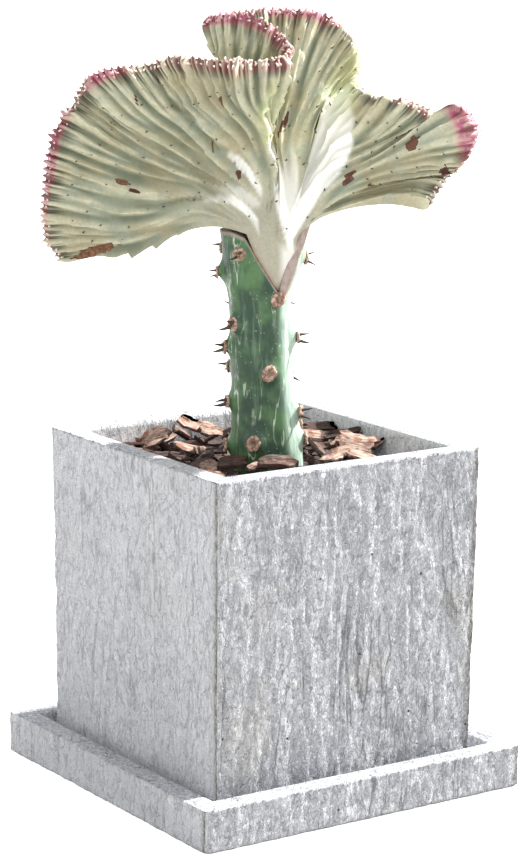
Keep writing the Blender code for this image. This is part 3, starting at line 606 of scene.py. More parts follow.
def buildPot(cement):
    form = potForm
    rings = []
    for level in range(form["levels"] + 1):
        share = level / form["levels"]
        z = form["baseZ"] + (form["topZ"] - form["baseZ"]) * share
        side = form["baseSide"] + (form["topSide"] - form["baseSide"]) * share
        ring, outward = squareRing(side, z, form["perSide"], form["corner"])
        if level == form["levels"]:
            ring[:, 2] -= chipEdge(ring, form["edgeChips"], form["chipSeed"])
        rings.append((ring, outward, 1.0 if level < form["levels"] else 0.8, 1.0))
    lifted = np.tile((0.0, 0.0, 1.0), (4 * form["perSide"], 1))
    for inset, rough in form["rim"]:
        ring, _ = squareRing(form["topSide"] - 2 * inset, rimHeight(form["topZ"], inset), form["perSide"],
                             1.0)
        rings.append((ring, lifted, rough, 0.0))
    floorZ = form["baseZ"] + form["floor"]
    rimZ = form["topZ"] - form["rimDrop"]
    for level in range(form["innerLevels"] + 1):
        share = level / form["innerLevels"]
        z = rimZ - (rimZ - floorZ) * share**1.6
        side = form["baseSide"]
        side += (form["topSide"] - form["baseSide"]) * (z - form["baseZ"]) / (form["topZ"] - form["baseZ"])
        ring, outward = squareRing(side - 2 * form["wall"], z, form["perSide"], innerWall["corner"])
        rings.append((ring, -outward, innerWall["rough"], innerWall["outer"]))
    for radius, z in ((form["drain"], floorZ), (form["drain"], form["baseZ"])):
        ring, outward = circleRing(radius, z, form["perSide"])
        rings.append((ring, outward, 0.0, 0.0))
    pot = buildBlock("cementPot", rings, cement, form, False)
    addPiece(pot, "cement", "pot")


def buildSaucer(cement):
    form = saucerForm
    rings = []
    for level in range(form["levels"] + 1):
        side = form["side"] - (2 * form["bevel"] if level == 0 else 0.0)
        ring, outward = squareRing(side, form["height"] * level / form["levels"], form["perSide"],
                                   form["corner"])
        if level == form["levels"]:
            ring[:, 2] -= chipEdge(ring, form["edgeChips"], form["chipSeed"])
        rings.append((ring, outward, 1.0 if level < form["levels"] else 0.8, 1.0))
    lifted = np.tile((0.0, 0.0, 1.0), (4 * form["perSide"], 1))
    for inset, rough in form["rim"]:
        side = form["side"] - 2 * inset
        corner = form["corner"] - 0.2 * inset
        ring, _ = squareRing(side, rimHeight(form["height"], inset), form["perSide"], corner)
        rings.append((ring, lifted, rough, 0.0))
    rimZ = form["height"] - form["rimDrop"]
    for level in range(form["innerLevels"] + 1):
        z = rimZ - (rimZ - form["floor"]) * level / form["innerLevels"]
        side = form["side"] - 2 * form["wall"] - level / form["innerLevels"]
        ring, outward = squareRing(side, z, form["perSide"], innerWall["corner"])
        rings.append((ring, -outward, innerWall["rough"], innerWall["outer"]))
    for side in form["floorSides"]:
        ring, _ = squareRing(side, form["floor"], form["perSide"], 0.5)
        rings.append((ring, lifted, 0.05, 0.0))
    saucer = buildBlock("cementSaucer", rings, cement, form, True)
    addPiece(saucer, "cement", "saucer")


# crest: one grown sheet, built from its foot to its growing edge
crestForm = {
    "samples": 1280,
    # rise from and to, how many rows, and samples along each
    "rows": ((0.0, 0.30, 10, 320), (0.30, 0.55, 10, 640), (0.55, 0.955, 28, 1280)),
    "capRows": (0.966, 0.978, 0.988, 0.995),
    "capFrom": 0.955,
    "capDepth": 0.045,
    "sweepSteps": 201,
    # half thickness of the sheet at its foot, its loss towards the edge and in the fold, its gain at the tip
    "sheetHalf": 4.5,
    "sheetLoss": 1.2,
    "foldLoss": 0.8,
    "tipGain": 2.4,
    "joinHeight": 265.0,
    "edgeTooth": 1.1,
    "raggedTooth": 1.5,
    "margin": (
        (-98.0, 4.0, 254.2), (-103.9, 0.0, 262.9), (-105.9, -4.0, 276.8), (-104.7, -6.0, 291.4),
        (-103.2, -6.0, 304.7), (-99.6, -8.0, 316.7), (-95.7, -5.0, 322.9), (-91.7, 0.0, 328.3),
        (-88.2, -1.0, 334.3), (-83.5, -8.0, 341.2), (-74.8, -13.0, 345.4), (-64.6, -10.0, 346.7),
        (-54.3, -11.0, 347.8), (-45.7, -15.0, 351.4), (-35.4, -20.0, 351.8), (-24.1, -25.0, 350.9),
        (-9.7, -28.0, 350.8), (2.7, -27.0, 351.3), (10.2, -18.0, 353.4), (9.7, -7.0, 358.7),
        (0.7, -2.0, 366.7), (-12.4, 0.0, 371.1), (-23.8, 5.0, 369.8), (-27.8, 15.0, 367.3),
        (-22.3, 26.0, 368.6), (-7.9, 32.0, 370.8), (5.5, 33.0, 371.4), (16.1, 32.0, 371.1),
        (26.7, 31.0, 369.9), (36.3, 31.0, 363.3), (42.8, 32.0, 356.0), (46.0, 32.0, 348.2),
        (45.0, 29.0, 340.7), (46.0, 21.0, 335.0), (50.0, 11.0, 332.2), (56.5, 2.0, 331.6),
        (65.2, -3.0, 331.4), (74.1, 0.0, 328.1), (81.0, 2.5, 324.6), (87.0, 2.0, 325.2),
        (92.9, -1.0, 326.8), (98.0, -5.0, 324.0), (100.3, -7.0, 317.0), (97.5, -1.0, 307.8),
        (92.2, 8.0, 299.1), (86.6, 8.0, 292.4), (82.2, 4.0, 286.1), (77.8, 0.0, 280.3),
    ),
    "footLeft": (-8.6, 0.0, 268.4),
    "footRight": (15.0, 0.0, 263.4),
    "focus": (-1.4, 0.0, 287.8),
    "startAt": (0.0, 0.15, 0.3, 0.42, 0.6, 0.8, 1.0),
    "startAngle": (-66.0, -50.0, -30.0, -10.0, 4.0, 17.0, 8.0),
    "foldBlur": 0.13,
    "foldPower": 1.2,
    "foldRoom": 0.6,
    # place along the edge, place foot to edge, reach of each, shift in mm
    "shifts": (
        (0.00, 0.62, 0.16, 0.28, (0.0, 0.0, -9.0)), (1.00, 0.50, 0.12, 0.30, (0.0, 0.0, -1.5)),
        (0.76, 0.50, 0.06, 0.30, (0.0, 6.0, 0.0)), (0.38, 0.50, 0.06, 0.22, (5.0, -5.0, 0.0)),
        (0.49, 0.62, 0.06, 0.25, (-5.0, 3.0, 0.0)), (0.58, 0.52, 0.06, 0.18, (0.0, 4.0, 0.0)),
    ),
    # path as (foot to edge, along the edge), height in mm, half width along the edge
    "pleats": (
        (((0.1, 0.13), (0.6, 0.06), (1.0, 0.055)), 3.8, 0.024),
        (((0.1, 0.22), (0.5, 0.175), (1.0, 0.21)), 3.8, 0.024),
        (((0.1, 0.31), (0.5, 0.30), (1.0, 0.29)), 4.2, 0.026),
        (((0.1, 0.45), (0.5, 0.44), (1.0, 0.45)), 3.6, 0.024),
        (((0.1, 0.60), (0.5, 0.62), (1.0, 0.62)), 2.6, 0.024),
        (((0.1, 0.71), (0.5, 0.715), (1.0, 0.72)), 3.8, 0.022),
        (((0.1, 0.88), (0.45, 0.85), (0.7, 0.78), (1.0, 0.75)), 5.2, 0.028),
        (((0.1, 0.95), (0.5, 0.93), (1.0, 0.93)), 2.8, 0.022),
    ),
    "wedge": ((240.4, 3), (246.0, 12), (253.0, 30), (260.0, 80)),
    "cutTip": (7.7, 238.6),
    "cutLeft": ((-9.3, 266.4), (-16.0, 268.8), (-31.0, 268.6)),
    "cutRight": ((13.2, 250.4), (16.4, 262.0), (19.4, 269.6), (20.8, 271.4), (32.0, 271.4)),
    # ribs: count, rise at their start, height in mm, how broad their tops are, share lost to the next set
    "ribs": (
        (20, 0.27, 2.0, 0.0, 0.3), (40, 0.46, 1.8, 0.1, 0.3), (80, 0.69, 1.3, 0.35, 0.3),
        (160, 0.85, 1.0, 0.9, 0.0),
    ),
    # ribs sweep sideways towards the foot: label at the edge, then shift at each rise
    "sweepRise": (0.0, 0.1, 0.2, 0.3, 0.4, 0.5, 0.65, 0.8, 1.0),
    "sweep": (
        (0.0, (0.0, 0.0, 0.0, 0.0, 0.0, 0.0, 0.0, 0.0, 0.0)),
        (0.075, (0.24, 0.21, 0.185, 0.11, 0.055, 0.015, 0.0, 0.0, 0.0)),
        (0.17, (0.2, 0.18, 0.16, 0.11, 0.07, 0.04, 0.015, 0.0, 0.0)),
        (0.262, (0.15, 0.14, 0.125, 0.105, 0.088, 0.062, 0.04, 0.01, 0.0)),
        (0.35, (0.08, 0.08, 0.07, 0.06, 0.05, 0.035, 0.02, 0.0, 0.0)),
        (0.45, (0.16, 0.14, 0.11, 0.08, 0.04, 0.01, 0.0, 0.0, 0.0)),
        (0.6, (0.07, 0.07, 0.05, 0.03, 0.01, 0.0, 0.0, 0.0, 0.0)),
        (0.72, (-0.01, -0.012, -0.018, -0.02, -0.018, -0.01, 0.0, 0.0, 0.0)),
        (0.8, (0.03, 0.03, 0.02, 0.01, 0.0, 0.0, 0.0, 0.0, 0.0)),
        (0.868, (0.1, 0.09, 0.06, 0.03, 0.008, 0.0, 0.0, 0.0, 0.0)),
        (1.0, (0.0, 0.0, 0.0, 0.0, 0.0, 0.0, 0.0, 0.0, 0.0)),
    ),
    # thin scalloped wings: (foot to edge, along the edge, height in mm) from below up, half width along it
    "wings": (
        (((0.52, 0.376, 0.0), (0.56, 0.374, 1.5), (0.60, 0.372, 3.0), (0.62, 0.372, 1.5),
          (0.645, 0.372, 5.0), (0.67, 0.372, 9.0),
          (0.70, 0.372, 6.5), (0.735, 0.371, 2.5), (0.765, 0.372, 4.5), (0.80, 0.376, 2.0),
          (0.84, 0.380, 2.6),
          (0.87, 0.383, 1.8), (0.91, 0.386, 1.0), (0.96, 0.388, 0.0)), 0.0046),
        (((0.62, 0.738, 0.0), (0.70, 0.734, 3.5), (0.74, 0.730, 5.5), (0.77, 0.728, 2.0), (0.82, 0.724, 6.0),
          (0.86, 0.721, 8.0),
          (0.885, 0.719, 3.0), (0.93, 0.716, 6.5), (0.96, 0.714, 3.5), (0.985, 0.712, 0.5)), 0.0052),
    ),
    # large ridges on the front, drawn on the plane through the stock as seen from this point in front of it:
    # path (spread, height), height in mm, steep side (1 is left of the path), notch spacing, part of the edge
    "eye": (-0.9, -1342.6, 446.4),
    "ridges": (
        (((-63.8, 278.1), (-49.5, 279.2), (-34.7, 282.6), (-26.1, 282.8), (-16.6, 282.8), (-11.3, 279.1),
          (-6.0, 272.9),
          (-4.1, 264.7)), 3.4, 1, 15.0, (0.0, 0.45)),
        (((-49.0, 335.5), (-44.3, 326.8), (-32.9, 319.8), (-25.8, 314.2), (-18.2, 304.8), (-14.1, 301.2),
          (-6.2, 293.4),
          (-2.3, 287.3)), 3.8, 1, 14.0, (0.0, 0.45)),
        (((-0.7, 321.5), (-1.1, 311.1), (0.8, 305.9), (2.8, 301.6), (2.8, 294.5), (5.3, 281.1), (7.9, 265.3)),
         3.4, 1, 19.0, (0.35, 0.75)),
        (((11.0, 330.6), (11.2, 310.2), (9.9, 301.7), (9.5, 296.9)), 1.8, 1, 16.0, (0.5, 0.72)),
        (((34.6, 335.0), (27.7, 322.7), (20.3, 307.7), (18.0, 299.8), (15.2, 289.3), (10.4, 276.9),
          (10.0, 264.0)),
         3.8, 1, 16.0, (0.6, 0.85)),
        (((50.6, 307.3), (45.2, 303.4), (34.2, 295.5), (28.1, 288.0), (23.9, 282.2), (19.7, 273.1),
          (15.0, 266.0)),
         2.8, -1, 15.0, (0.8, 1.0)),
    ),
    # pale painted sunlight and a thin, glowing yellow-green painted backlight on the front, drawn the same
    # way:
    # (spread, height, half width, strength) of each stroke, part of the edge
    "bloom": (
        (((37.7, 334.7, 2.5, 0.3), (35.2, 322.8, 6.0, 0.75), (33.0, 311.8, 8.8, 1.0),
          (28.7, 299.9, 8.6, 1.0), (21.4, 288.0, 5.4, 1.0),
          (15.9, 276.9, 4.4, 1.0), (11.7, 263.9, 1.5, 1.0)), (0.6, 1.0)),
        (((0.2, 319.1, 1.0, 0.9), (0.3, 311.1, 1.5, 0.9), (4.7, 301.6, 1.9, 0.9), (6.2, 292.6, 2.6, 0.9),
          (7.7, 281.1, 2.6, 0.9),
          (10.2, 271.1, 2.2, 0.9), (12.2, 262.5, 1.5, 0.9)), (0.35, 1.0)),
        (((11.7, 310.9, 0.8, 0.2), (10.9, 295.0, 3.2, 0.5), (11.0, 283.1, 3.8, 0.6),
          (11.1, 272.6, 2.4, 0.6)), (0.35, 1.0)),
        (((-28.5, 283.2, 0.7, 0.3), (-20.4, 283.8, 1.5, 0.7), (-15.2, 283.3, 1.7, 0.95),
          (-9.9, 279.6, 1.7, 0.95),
          (-4.6, 273.9, 1.3, 0.9), (-3.1, 267.6, 0.7, 0.4)), (0.0, 0.5)),
        (((-23.8, 287.6, 1.9, 0.1), (-11.9, 286.7, 2.9, 0.4), (-4.7, 281.5, 2.4, 0.4)), (0.0, 0.5)),
        (((-17.2, 304.8, 0.6, 0.9), (-12.4, 301.5, 1.7, 1.0), (-7.2, 296.3, 1.5, 1.0),
          (-3.3, 289.2, 1.2, 0.8), (-1.8, 283.9, 0.5, 0.2)),
         (0.0, 0.5)),
    ),
    "glow": (
        (((42.0, 354.0, 3.0, 0.5), (39.5, 343.0, 5.0, 0.6), (38.5, 333.0, 5.0, 0.7), (36.0, 325.0, 6.0, 0.4),
          (34.0, 316.0, 5.0, 0.0)),
         (0.6, 0.8)),
        (((4.0, 336.0, 3.0, 0.3), (2.0, 327.0, 5.0, 0.6), (-1.0, 321.0, 4.0, 0.4)), (0.33, 0.42)),
    ),
    "stepSpacing": 13.0,
    "stepHeight": 2.0,
    # pink along the edge and how deep it reaches down from it, in mm
    "pinkAt": (0.0, 0.03, 0.07, 0.10, 0.14, 0.17, 0.205, 0.225, 0.25, 0.32, 0.39, 0.44, 0.47, 0.52, 0.56,
               0.61, 0.655, 0.68, 0.74, 0.80, 0.86, 0.88, 0.905, 0.925, 0.96, 1.0),
    "pink": (0.25, 0.5, 0.7, 1.0, 0.8, 0.35, 0.9, 0.8, 0.3, 0.45, 0.55, 0.7, 1.0, 0.9, 0.55,
             0.8, 1.0, 0.3, 0.15, 0.35, 0.6, 1.0, 1.0, 0.6, 0.35, 0.3),
    "pinkReach": (4.0, 4.5, 5.0, 8.0, 6.0, 4.0, 8.0, 7.0, 6.0, 9.0, 9.0, 8.0, 8.0, 7.0, 5.0,
                  7.0, 9.0, 4.0, 3.0, 4.0, 8.0, 15.0, 16.0, 8.0, 4.0, 3.0),
    # healed scars on the front: along the edge, foot to edge, half size along and up in mm, redness, strength
    "scars": (
        (0.008, 0.79, 2.6, 12.0, 0.0, 1.0), (0.110, 0.69, 1.3, 4.8, 0.4, 1.0),
        (0.106, 0.63, 0.9, 3.4, 0.8, 1.0),
        (0.328, 0.794, 0.9, 3.6, 0.3, 1.0), (0.330, 0.42, 1.3, 2.6, 0.9, 1.0),
        (0.300, 0.60, 0.6, 3.0, 0.8, 0.9),
        (0.228, 0.856, 0.5, 2.4, 0.9, 1.0), (0.262, 0.919, 0.5, 2.4, 0.9, 1.0),
        (0.64, 0.53, 1.1, 7.0, 0.8, 1.0),
        (0.898, 0.494, 2.8, 3.2, 0.7, 1.0), (0.952, 0.594, 0.7, 2.0, 0.7, 1.0),
        (0.888, 0.769, 2.8, 4.6, 0.6, 1.0),
        (0.948, 0.92, 2.8, 3.4, 0.8, 1.0),
    ),
}


def smoothCurve(points, count):
    # even samples of a smooth curve through the points
    points = np.asarray(points, float)
    knots = np.concatenate([[0.0], np.cumsum(np.linalg.norm(np.diff(points, axis=0), axis=1) ** 0.5)])
    span = np.diff(knots)[:, None]
    slope = np.diff(points, axis=0) / span
    tangent = np.empty_like(points)
    tangent[0] = slope[0]
    tangent[-1] = slope[-1]
    tangent[1:-1] = (slope[:-1] * span[1:] + slope[1:] * span[:-1]) / (span[1:] + span[:-1])
    x = np.linspace(0.0, knots[-1], 6001)
    i = np.clip(np.searchsorted(knots, x, "right") - 1, 0, len(knots) - 2)
    width = (knots[i + 1] - knots[i])[:, None]
    k = (x - knots[i])[:, None] / width
    curve = (2 * k**3 - 3 * k**2 + 1) * points[i] + (k**3 - 2 * k**2 + k) * width * tangent[i]
    curve += (-2 * k**3 + 3 * k**2) * points[i + 1] + (k**3 - k**2) * width * tangent[i + 1]
    length = np.concatenate([[0.0], np.cumsum(np.linalg.norm(np.diff(curve, axis=0), axis=1))])
    even = np.linspace(0.0, length[-1], count)
    return np.stack([np.interp(even, length, curve[:, axis]) for axis in range(3)], axis=1)


def blur(values, reach):
    # soft average along the first axis, mirrored through both ends; reach is a share of the axis
    count = len(values)
    half = int(math.ceil(3 * reach * (count - 1)))
    if half < 1:
        return values.copy()
    weight = np.exp(-0.5 * (np.arange(-half, half + 1) / (reach * (count - 1))) ** 2)
    weight /= weight.sum()
    before = 2 * values[0] - values[np.clip(np.arange(half, 0, -1), 0, count - 1)]
    after = 2 * values[-1] - values[np.clip(count - 1 - np.arange(1, half + 1), 0, count - 1)]
    padded = np.concatenate([before, values, after])
    return np.stack([np.convolve(padded[:, axis], weight, "valid") for axis in range(values.shape[1])],
                    axis=1)


def sheetRows(rises):
    # middle of the sheet: one row of samples along the edge for each rise from foot (0) to edge (1)
    form = crestForm
    along = np.linspace(0.0, 1.0, form["samples"] + 1)
    edge = smoothCurve(form["margin"], form["samples"] + 1)
    footLeft = np.array(form["footLeft"])
    foot = footLeft + (np.array(form["footRight"]) - footLeft) * along[:, None]
    tangent = unit(blur(np.gradient(edge, axis=0), 0.012))
    ray = edge - np.array(form["focus"])
    outward = unit(ray - np.sum(ray * tangent, axis=1)[:, None] * tangent)
    share = (0.65 - 0.6 * np.exp(-(((along - 0.885) / 0.05) ** 2)))[:, None]
    arrive = unit(blur(share * outward + (1 - share) * unit(ray), 0.012))
    angle = np.interp(along, form["startAt"], form["startAngle"])[:, None]
    angle = np.radians(blur(angle, 0.05))[:, 0]
    start = np.stack([np.sin(angle), 0 * angle, np.cos(angle)], axis=1)
    rows = []
    for rise in rises:
        reach = form["foldBlur"] * (1 - rise) ** form["foldPower"]
        target = blur(edge, reach)
        heading = unit(blur(arrive, max(0.7 * reach, 0.018 + 0.05 * (1 - rise))))
        length = np.linalg.norm(target - foot, axis=1)[:, None]
        first = foot + start * length * 0.30
        second = target - heading * length * 0.38
        row = (1 - rise) ** 3 * foot + 3 * (1 - rise) ** 2 * rise * first
        row += 3 * (1 - rise) * rise**2 * second + rise**3 * target
        for at, up, reachAt, reachUp, shift in form["shifts"]:
            weight = np.exp(-(((along - at) / reachAt) ** 2) - ((rise - up) / reachUp) ** 2)
            row = row + weight[:, None] * min(1.0, 6 * rise) * np.array(shift)
        rows.append(row)
    return np.array(rows), along


def pleatHeight(rise, along):
    height = np.zeros_like(along)
    for path, lift, halfWidth in crestForm["pleats"]:
        steps = np.array(path)
        centre = np.interp(rise, steps[:, 0], steps[:, 1])
        fade = float(smoothStep(0.06, 0.32, rise) * (1.0 - smoothStep(0.62, 0.95, rise)))
        height += lift * fade * np.exp(-(((along - centre) / halfWidth) ** 2))
    return height


def halfThickness(rise, along):
    centre, halfSpread, halfDepth = stockAt(crestForm["joinHeight"])
    spread = crestForm["footLeft"][0] + (crestForm["footRight"][0] - crestForm["footLeft"][0]) * along
    chord = halfDepth * np.sqrt(np.clip(1 - ((spread - centre) / (halfSpread + 2.0)) ** 2, 0.05, 1.0)) - 0.6
    sheet = crestForm["sheetHalf"] - crestForm["sheetLoss"] * float(smoothStep(0.3, 1.0, rise))
    fold = crestForm["foldLoss"] * smoothStep(0.33, 0.4, along) * (1 - smoothStep(0.5, 0.56, along))
    fold = fold * float(smoothStep(0.2, 0.5, rise))
    tip = crestForm["tipGain"] * np.exp(-(((along - 0.905) / 0.045) ** 2)) * float(smoothStep(0.6, 1.0, rise))
    share = float(smoothStep(0.0, 0.34, rise) ** 0.8)
    return chord * (1 - share) + (sheet + tip - fold) * share


def makeSweep(rises):
    # for each rise, the place along the edge of every label of the sweep table
    labels = np.array([row[0] for row in crestForm["sweep"]])
    table = np.array([row[1] for row in crestForm["sweep"]])
    fine = np.linspace(0.0, 1.0, crestForm["sweepSteps"])
    shift = np.stack([np.interp(fine, crestForm["sweepRise"], line) for line in table], axis=1)
    shift = blur(shift, 0.035)
    manyLabels = np.linspace(0.0, 1.0, crestForm["sweepSteps"])
    found = []
    for rise in rises:
        here = np.array([np.interp(rise, fine, shift[:, k]) for k in range(len(labels))])
        smooth = blur(np.interp(manyLabels, labels, here)[:, None], 0.025)[:, 0]
        smooth *= smoothStep(0.0, 0.03, manyLabels) * smoothStep(1.0, 0.97, manyLabels)
        place = np.maximum.accumulate(manyLabels + smooth)
        found.append(place + np.arange(len(place)) * 1e-7)
    return manyLabels, found


def ribRelief(rise, label, climbed):
    # height of the ribs in mm, a tone from 0 in the valleys to 1 on the ridges that paints shade into the
    # valleys, and how deep in a slit, painted as shade
    relief = np.zeros_like(label)
    tone = np.full_like(label, 0.45)
    slit = np.zeros_like(label)
    ribs = crestForm["ribs"]
    for number, (count, start, height, broad, lost) in enumerate(ribs):
        wander = 0.12 * np.sin(label * 31.0 + number) + 0.08 * np.sin(label * 77.0 + 2.0 * number)
        phase = label * count + wander
        near = np.round(phase)
        late = 0.09 * (scatterValue(near, number) - 0.5)
        onset = smoothStep(0.0, 0.16, rise - start - late)
        even = float(smoothStep(0.0, 0.16, rise - start))
        nextStart = ribs[number + 1][1] if number + 1 < len(ribs) else 2.0
        keep = 1.0 - lost * float(smoothStep(nextStart, nextStart + 0.25, rise))
        off = 2.0 * (phase - near)
        off = np.clip(np.abs(off + 0.3 * (1.0 - off**2)), 0.0, 1.0)
        narrow = (1.0 - off) ** 1.9
        wide = 1.0 - off**2.6
        top = narrow * (1.0 - broad) + wide * broad
        middling = (1.0 - broad) * 0.34 + broad * 0.72
        bigger = 0.65 + 0.7 * scatterValue(near, number + 7.0)
        relief += height * keep * 2.0 * (onset * top * bigger - even * middling)
        tone = tone * (1.0 - 0.6 * onset) + 0.6 * onset * top
        slit = np.maximum(slit * 0.9,
                          onset * smoothStep(0.66, 1.0, off) * float(smoothStep(0.84, 0.97, rise)))
        if number < 3:
            step = np.modf(climbed / crestForm["stepSpacing"] + scatterValue(near, number + 3.0))[0]
            relief += crestForm["stepHeight"] * keep * onset * narrow**1.2 * (step**2 - 0.3) * (1.0 - slit)
    return relief, np.clip(tone, 0.0, 1.0), slit


def lowHem(rise, climbed):
    # ragged lower edge at the left: how far it hangs, in mm
    step = np.modf(climbed / 12.5 + 0.35)[0]
    return 3.4 * step**1.6 * float(smoothStep(0.3, 0.5, rise) * smoothStep(0.8, 0.7, rise))


def wingRelief(rise, along):
    relief = np.zeros_like(along)
    tone = np.zeros_like(along)
    for path, halfWidth in crestForm["wings"]:
        steps = np.array(path)
        if not steps[0, 0] < rise < steps[-1, 0]:
            continue
        centre = np.interp(rise, steps[:, 0], steps[:, 1])
        height = float(np.interp(rise, steps[:, 0], steps[:, 2]))
        shape = np.exp(-np.abs((along - centre) / halfWidth) ** 1.6)
        relief += height * shape
        tone = np.maximum(tone, shape * min(1.0, height / 3.0))
    return relief, tone


def seenFrom(points):
    # spread and height where the line from the eye through each point meets the plane through the stock
    eye = np.array(crestForm["eye"])
    share = -eye[1] / (points[:, 1] - eye[1])
    return eye[[0, 2]] + (points - eye)[:, [0, 2]] * share[:, None]


def besidePath(spots, path):
    # distance to a path (positive on its left), how far along it that is, its other values, and its length
    path = np.array(path)
    best = np.full(len(spots), 1e9)
    side = np.zeros(len(spots))
    walked = np.zeros(len(spots))
    rest = np.zeros((len(spots), path.shape[1] - 2))
    length = 0.0
    for a, b in zip(path, path[1:]):
        step = (b - a)[:2]
        size = float(np.linalg.norm(step))
        share = np.clip((spots - a[:2]) @ step / size**2, 0.0, 1.0)
        away = spots - a[:2] - share[:, None] * step
        distance = np.linalg.norm(away, axis=1)
        nearer = distance < best
        best = np.where(nearer, distance, best)
        side = np.where(nearer, np.sign(step[0] * away[:, 1] - step[1] * away[:, 0]), side)
        walked = np.where(nearer, length + share * size, walked)
        rest = np.where(nearer[:, None], a[2:] + (b[2:] - a[2:]) * share[:, None], rest)
        length += size
    return best * side, walked, rest, length


def drawnRelief(points, along):
    # large ridges and pale painted sunlight on the front
    spots = seenFrom(points)
    relief = np.zeros(len(points))
    for number, (path, height, steep, spacing, (low, high)) in enumerate(crestForm["ridges"]):
        distance, walked, _, length = besidePath(spots, path)
        distance = distance * steep
        part = smoothStep(low - 0.01, low + 0.01, along) * smoothStep(high + 0.01, high - 0.01, along)
        ends = smoothStep(0.0, 8.0, walked) * smoothStep(length, length - 6.0, walked)
        notch = 1.0 - 0.45 * np.modf(walked / spacing + 0.4 * number)[0] ** 2.0
        steepSide = np.exp(-((distance / 1.2) ** 2))
        gentleSide = np.exp(-((-np.minimum(distance, 0.0) / 6.0) ** 1.3))
        shape = np.where(distance > 0, steepSide, gentleSide)
        relief += height * part * ends * notch * shape
    tints = []
    for kind, soft in (("bloom", 0.9), ("glow", 2.5)):
        tint = np.zeros(len(points))
        for path, (low, high) in crestForm[kind]:
            distance, _, rest, _ = besidePath(spots, path)
            part = smoothStep(low - 0.01, low + 0.01, along) * smoothStep(high + 0.01, high - 0.01, along)
            inside = smoothStep(rest[:, 0] + soft, rest[:, 0] - soft, np.abs(distance))
            tint = np.maximum(tint, rest[:, 1] * part * inside)
        tints.append(tint)
    return relief, tints[0], tints[1]


def stitch(lower, upper):
    # triangles between two strings of point numbers, each taken as evenly spaced
    faces = []
    i = 0
    j = 0
    while i < len(lower) - 1 or j < len(upper) - 1:
        nextLower = (i + 1) / (len(lower) - 1) if i < len(lower) - 1 else 2.0
        nextUpper = (j + 1) / (len(upper) - 1) if j < len(upper) - 1 else 2.0
        if nextLower <= nextUpper:
            faces.append((lower[i], lower[i + 1], upper[j]))
            i += 1
        else:
            faces.append((lower[i], upper[j + 1], upper[j]))
            j += 1
    return faces


def growCrest():
    # rows of the crest from the wedge's tip up, each with its front and back points and what its finish reads
    form = crestForm
    plan = []
    for low, high, count, columns in form["rows"]:
        plan += [(low + (high - low) * k / count, columns) for k in range(count)]
    plan.append((form["rows"][-1][1], form["samples"]))
    plan += [(rise, form["samples"]) for rise in form["capRows"]]
    rises = [rise for rise, _ in plan] + [1.0]
    rows, along = sheetRows(rises)
    across = unit(np.gradient(rows, axis=1))
    climb = np.gradient(rows, np.array(rises), axis=0)
    normals = unit(np.cross(across, climb))
    normals = np.array([unit(blur(n, 0.006)) for n in normals])
    steps = np.linalg.norm(np.diff(rows, axis=0), axis=2)
    climbed = np.concatenate([np.zeros((1, len(along))), np.cumsum(steps, axis=0)])
    labels, places = makeSweep(rises)
    pink = np.interp(along, form["pinkAt"], form["pink"])
    pinkReach = np.interp(along, form["pinkAt"], form["pinkReach"])
    grown = []
    for number, (rise, columns) in enumerate(plan):
        stride = form["samples"] // columns
        pace = np.gradient(rows[number], axis=0)
        paceLength = np.linalg.norm(pace, axis=1)
        bend = np.sum(np.gradient(normals[number], axis=0) * pace, axis=1) / paceLength**2
        bend = blur(bend[:, None], 0.008)[:, 0]
        half = halfThickness(rise, along)
        middle = rows[number] + normals[number] * pleatHeight(rise, along)[:, None]
        label = np.interp(along, places[number], labels)
        relief, tone, slit = ribRelief(rise, label, climbed[number])
        wing, wingGlow = wingRelief(rise, along)
        drawn, bloom, glow = drawnRelief(middle + normals[number] * half[:, None], along)
        # the side lobe's thin end has few ribs and is painted with a backlit glow
        lobe = smoothStep(0.69, 0.70, along) * smoothStep(0.752, 0.742, along)
        calm = 1.0 - lobe * float(smoothStep(0.6, 0.75, rise))
        slit = slit * (0.15 + 0.85 * calm)
        relief = relief * (0.4 + 0.6 * calm) * (1.0 - 0.45 * bloom)
        glow = np.maximum(glow, 0.55 * (1.0 - calm))
        wingGlow = np.maximum(wingGlow, 0.7 * glow)
        spacing = paceLength * form["samples"] / 10.0
        limit = 0.35 * spacing / max(1.0, 16.0 * float(smoothStep(0.1, 0.9, rise)))
        relief = relief * np.minimum(1.0, limit)
        hem = lowHem(rise, climbed[number]) * np.exp(-((along / 0.006) ** 2))
        middle = middle - across[number] * hem[:, None]
        rounding = math.sqrt(max(0.0, 1.0 - (max(0.0, rise - form["capFrom"]) / form["capDepth"]) ** 2))
        sides = []
        for side in (1.0, -1.0):
            turn = np.minimum(side * bend, -1e-4)
            depth = half
            if rise > 0.2:
                depth = half / (1.0 + (half / (form["foldRoom"] / -turn)) ** 3) ** (1.0 / 3.0)
            stretch = np.clip(1.0 + side * bend * depth, 0.15, 1.0)
            extra = relief * stretch * float(smoothStep(0.0, 0.12, rise))
            if side > 0:
                extra = extra + wing * np.clip(1.0 + side * bend * depth, 0.4, 1.3)
                extra = extra + drawn * float(smoothStep(0.0, 0.06, rise))
            sides.append(depth * rounding + extra * (0.4 + 0.6 * rounding))
        left = climbed[-1] - climbed[number]
        pinkTone = pink * smoothStep(pinkReach, 0.35 * pinkReach, left)
        grown.append({
            "rise": rise, "stride": stride, "middle": middle, "normal": normals[number],
            "toFront": sides[0], "toBack": sides[1],
            "rib": tone, "slit": slit, "wing": wingGlow, "bloom": bloom, "pink": pinkTone,
            "climb": unit(climb[number]), "across": across[number], "climbed": climbed[number],
            "place": places[number],
        })
    return grown, rows, along, labels


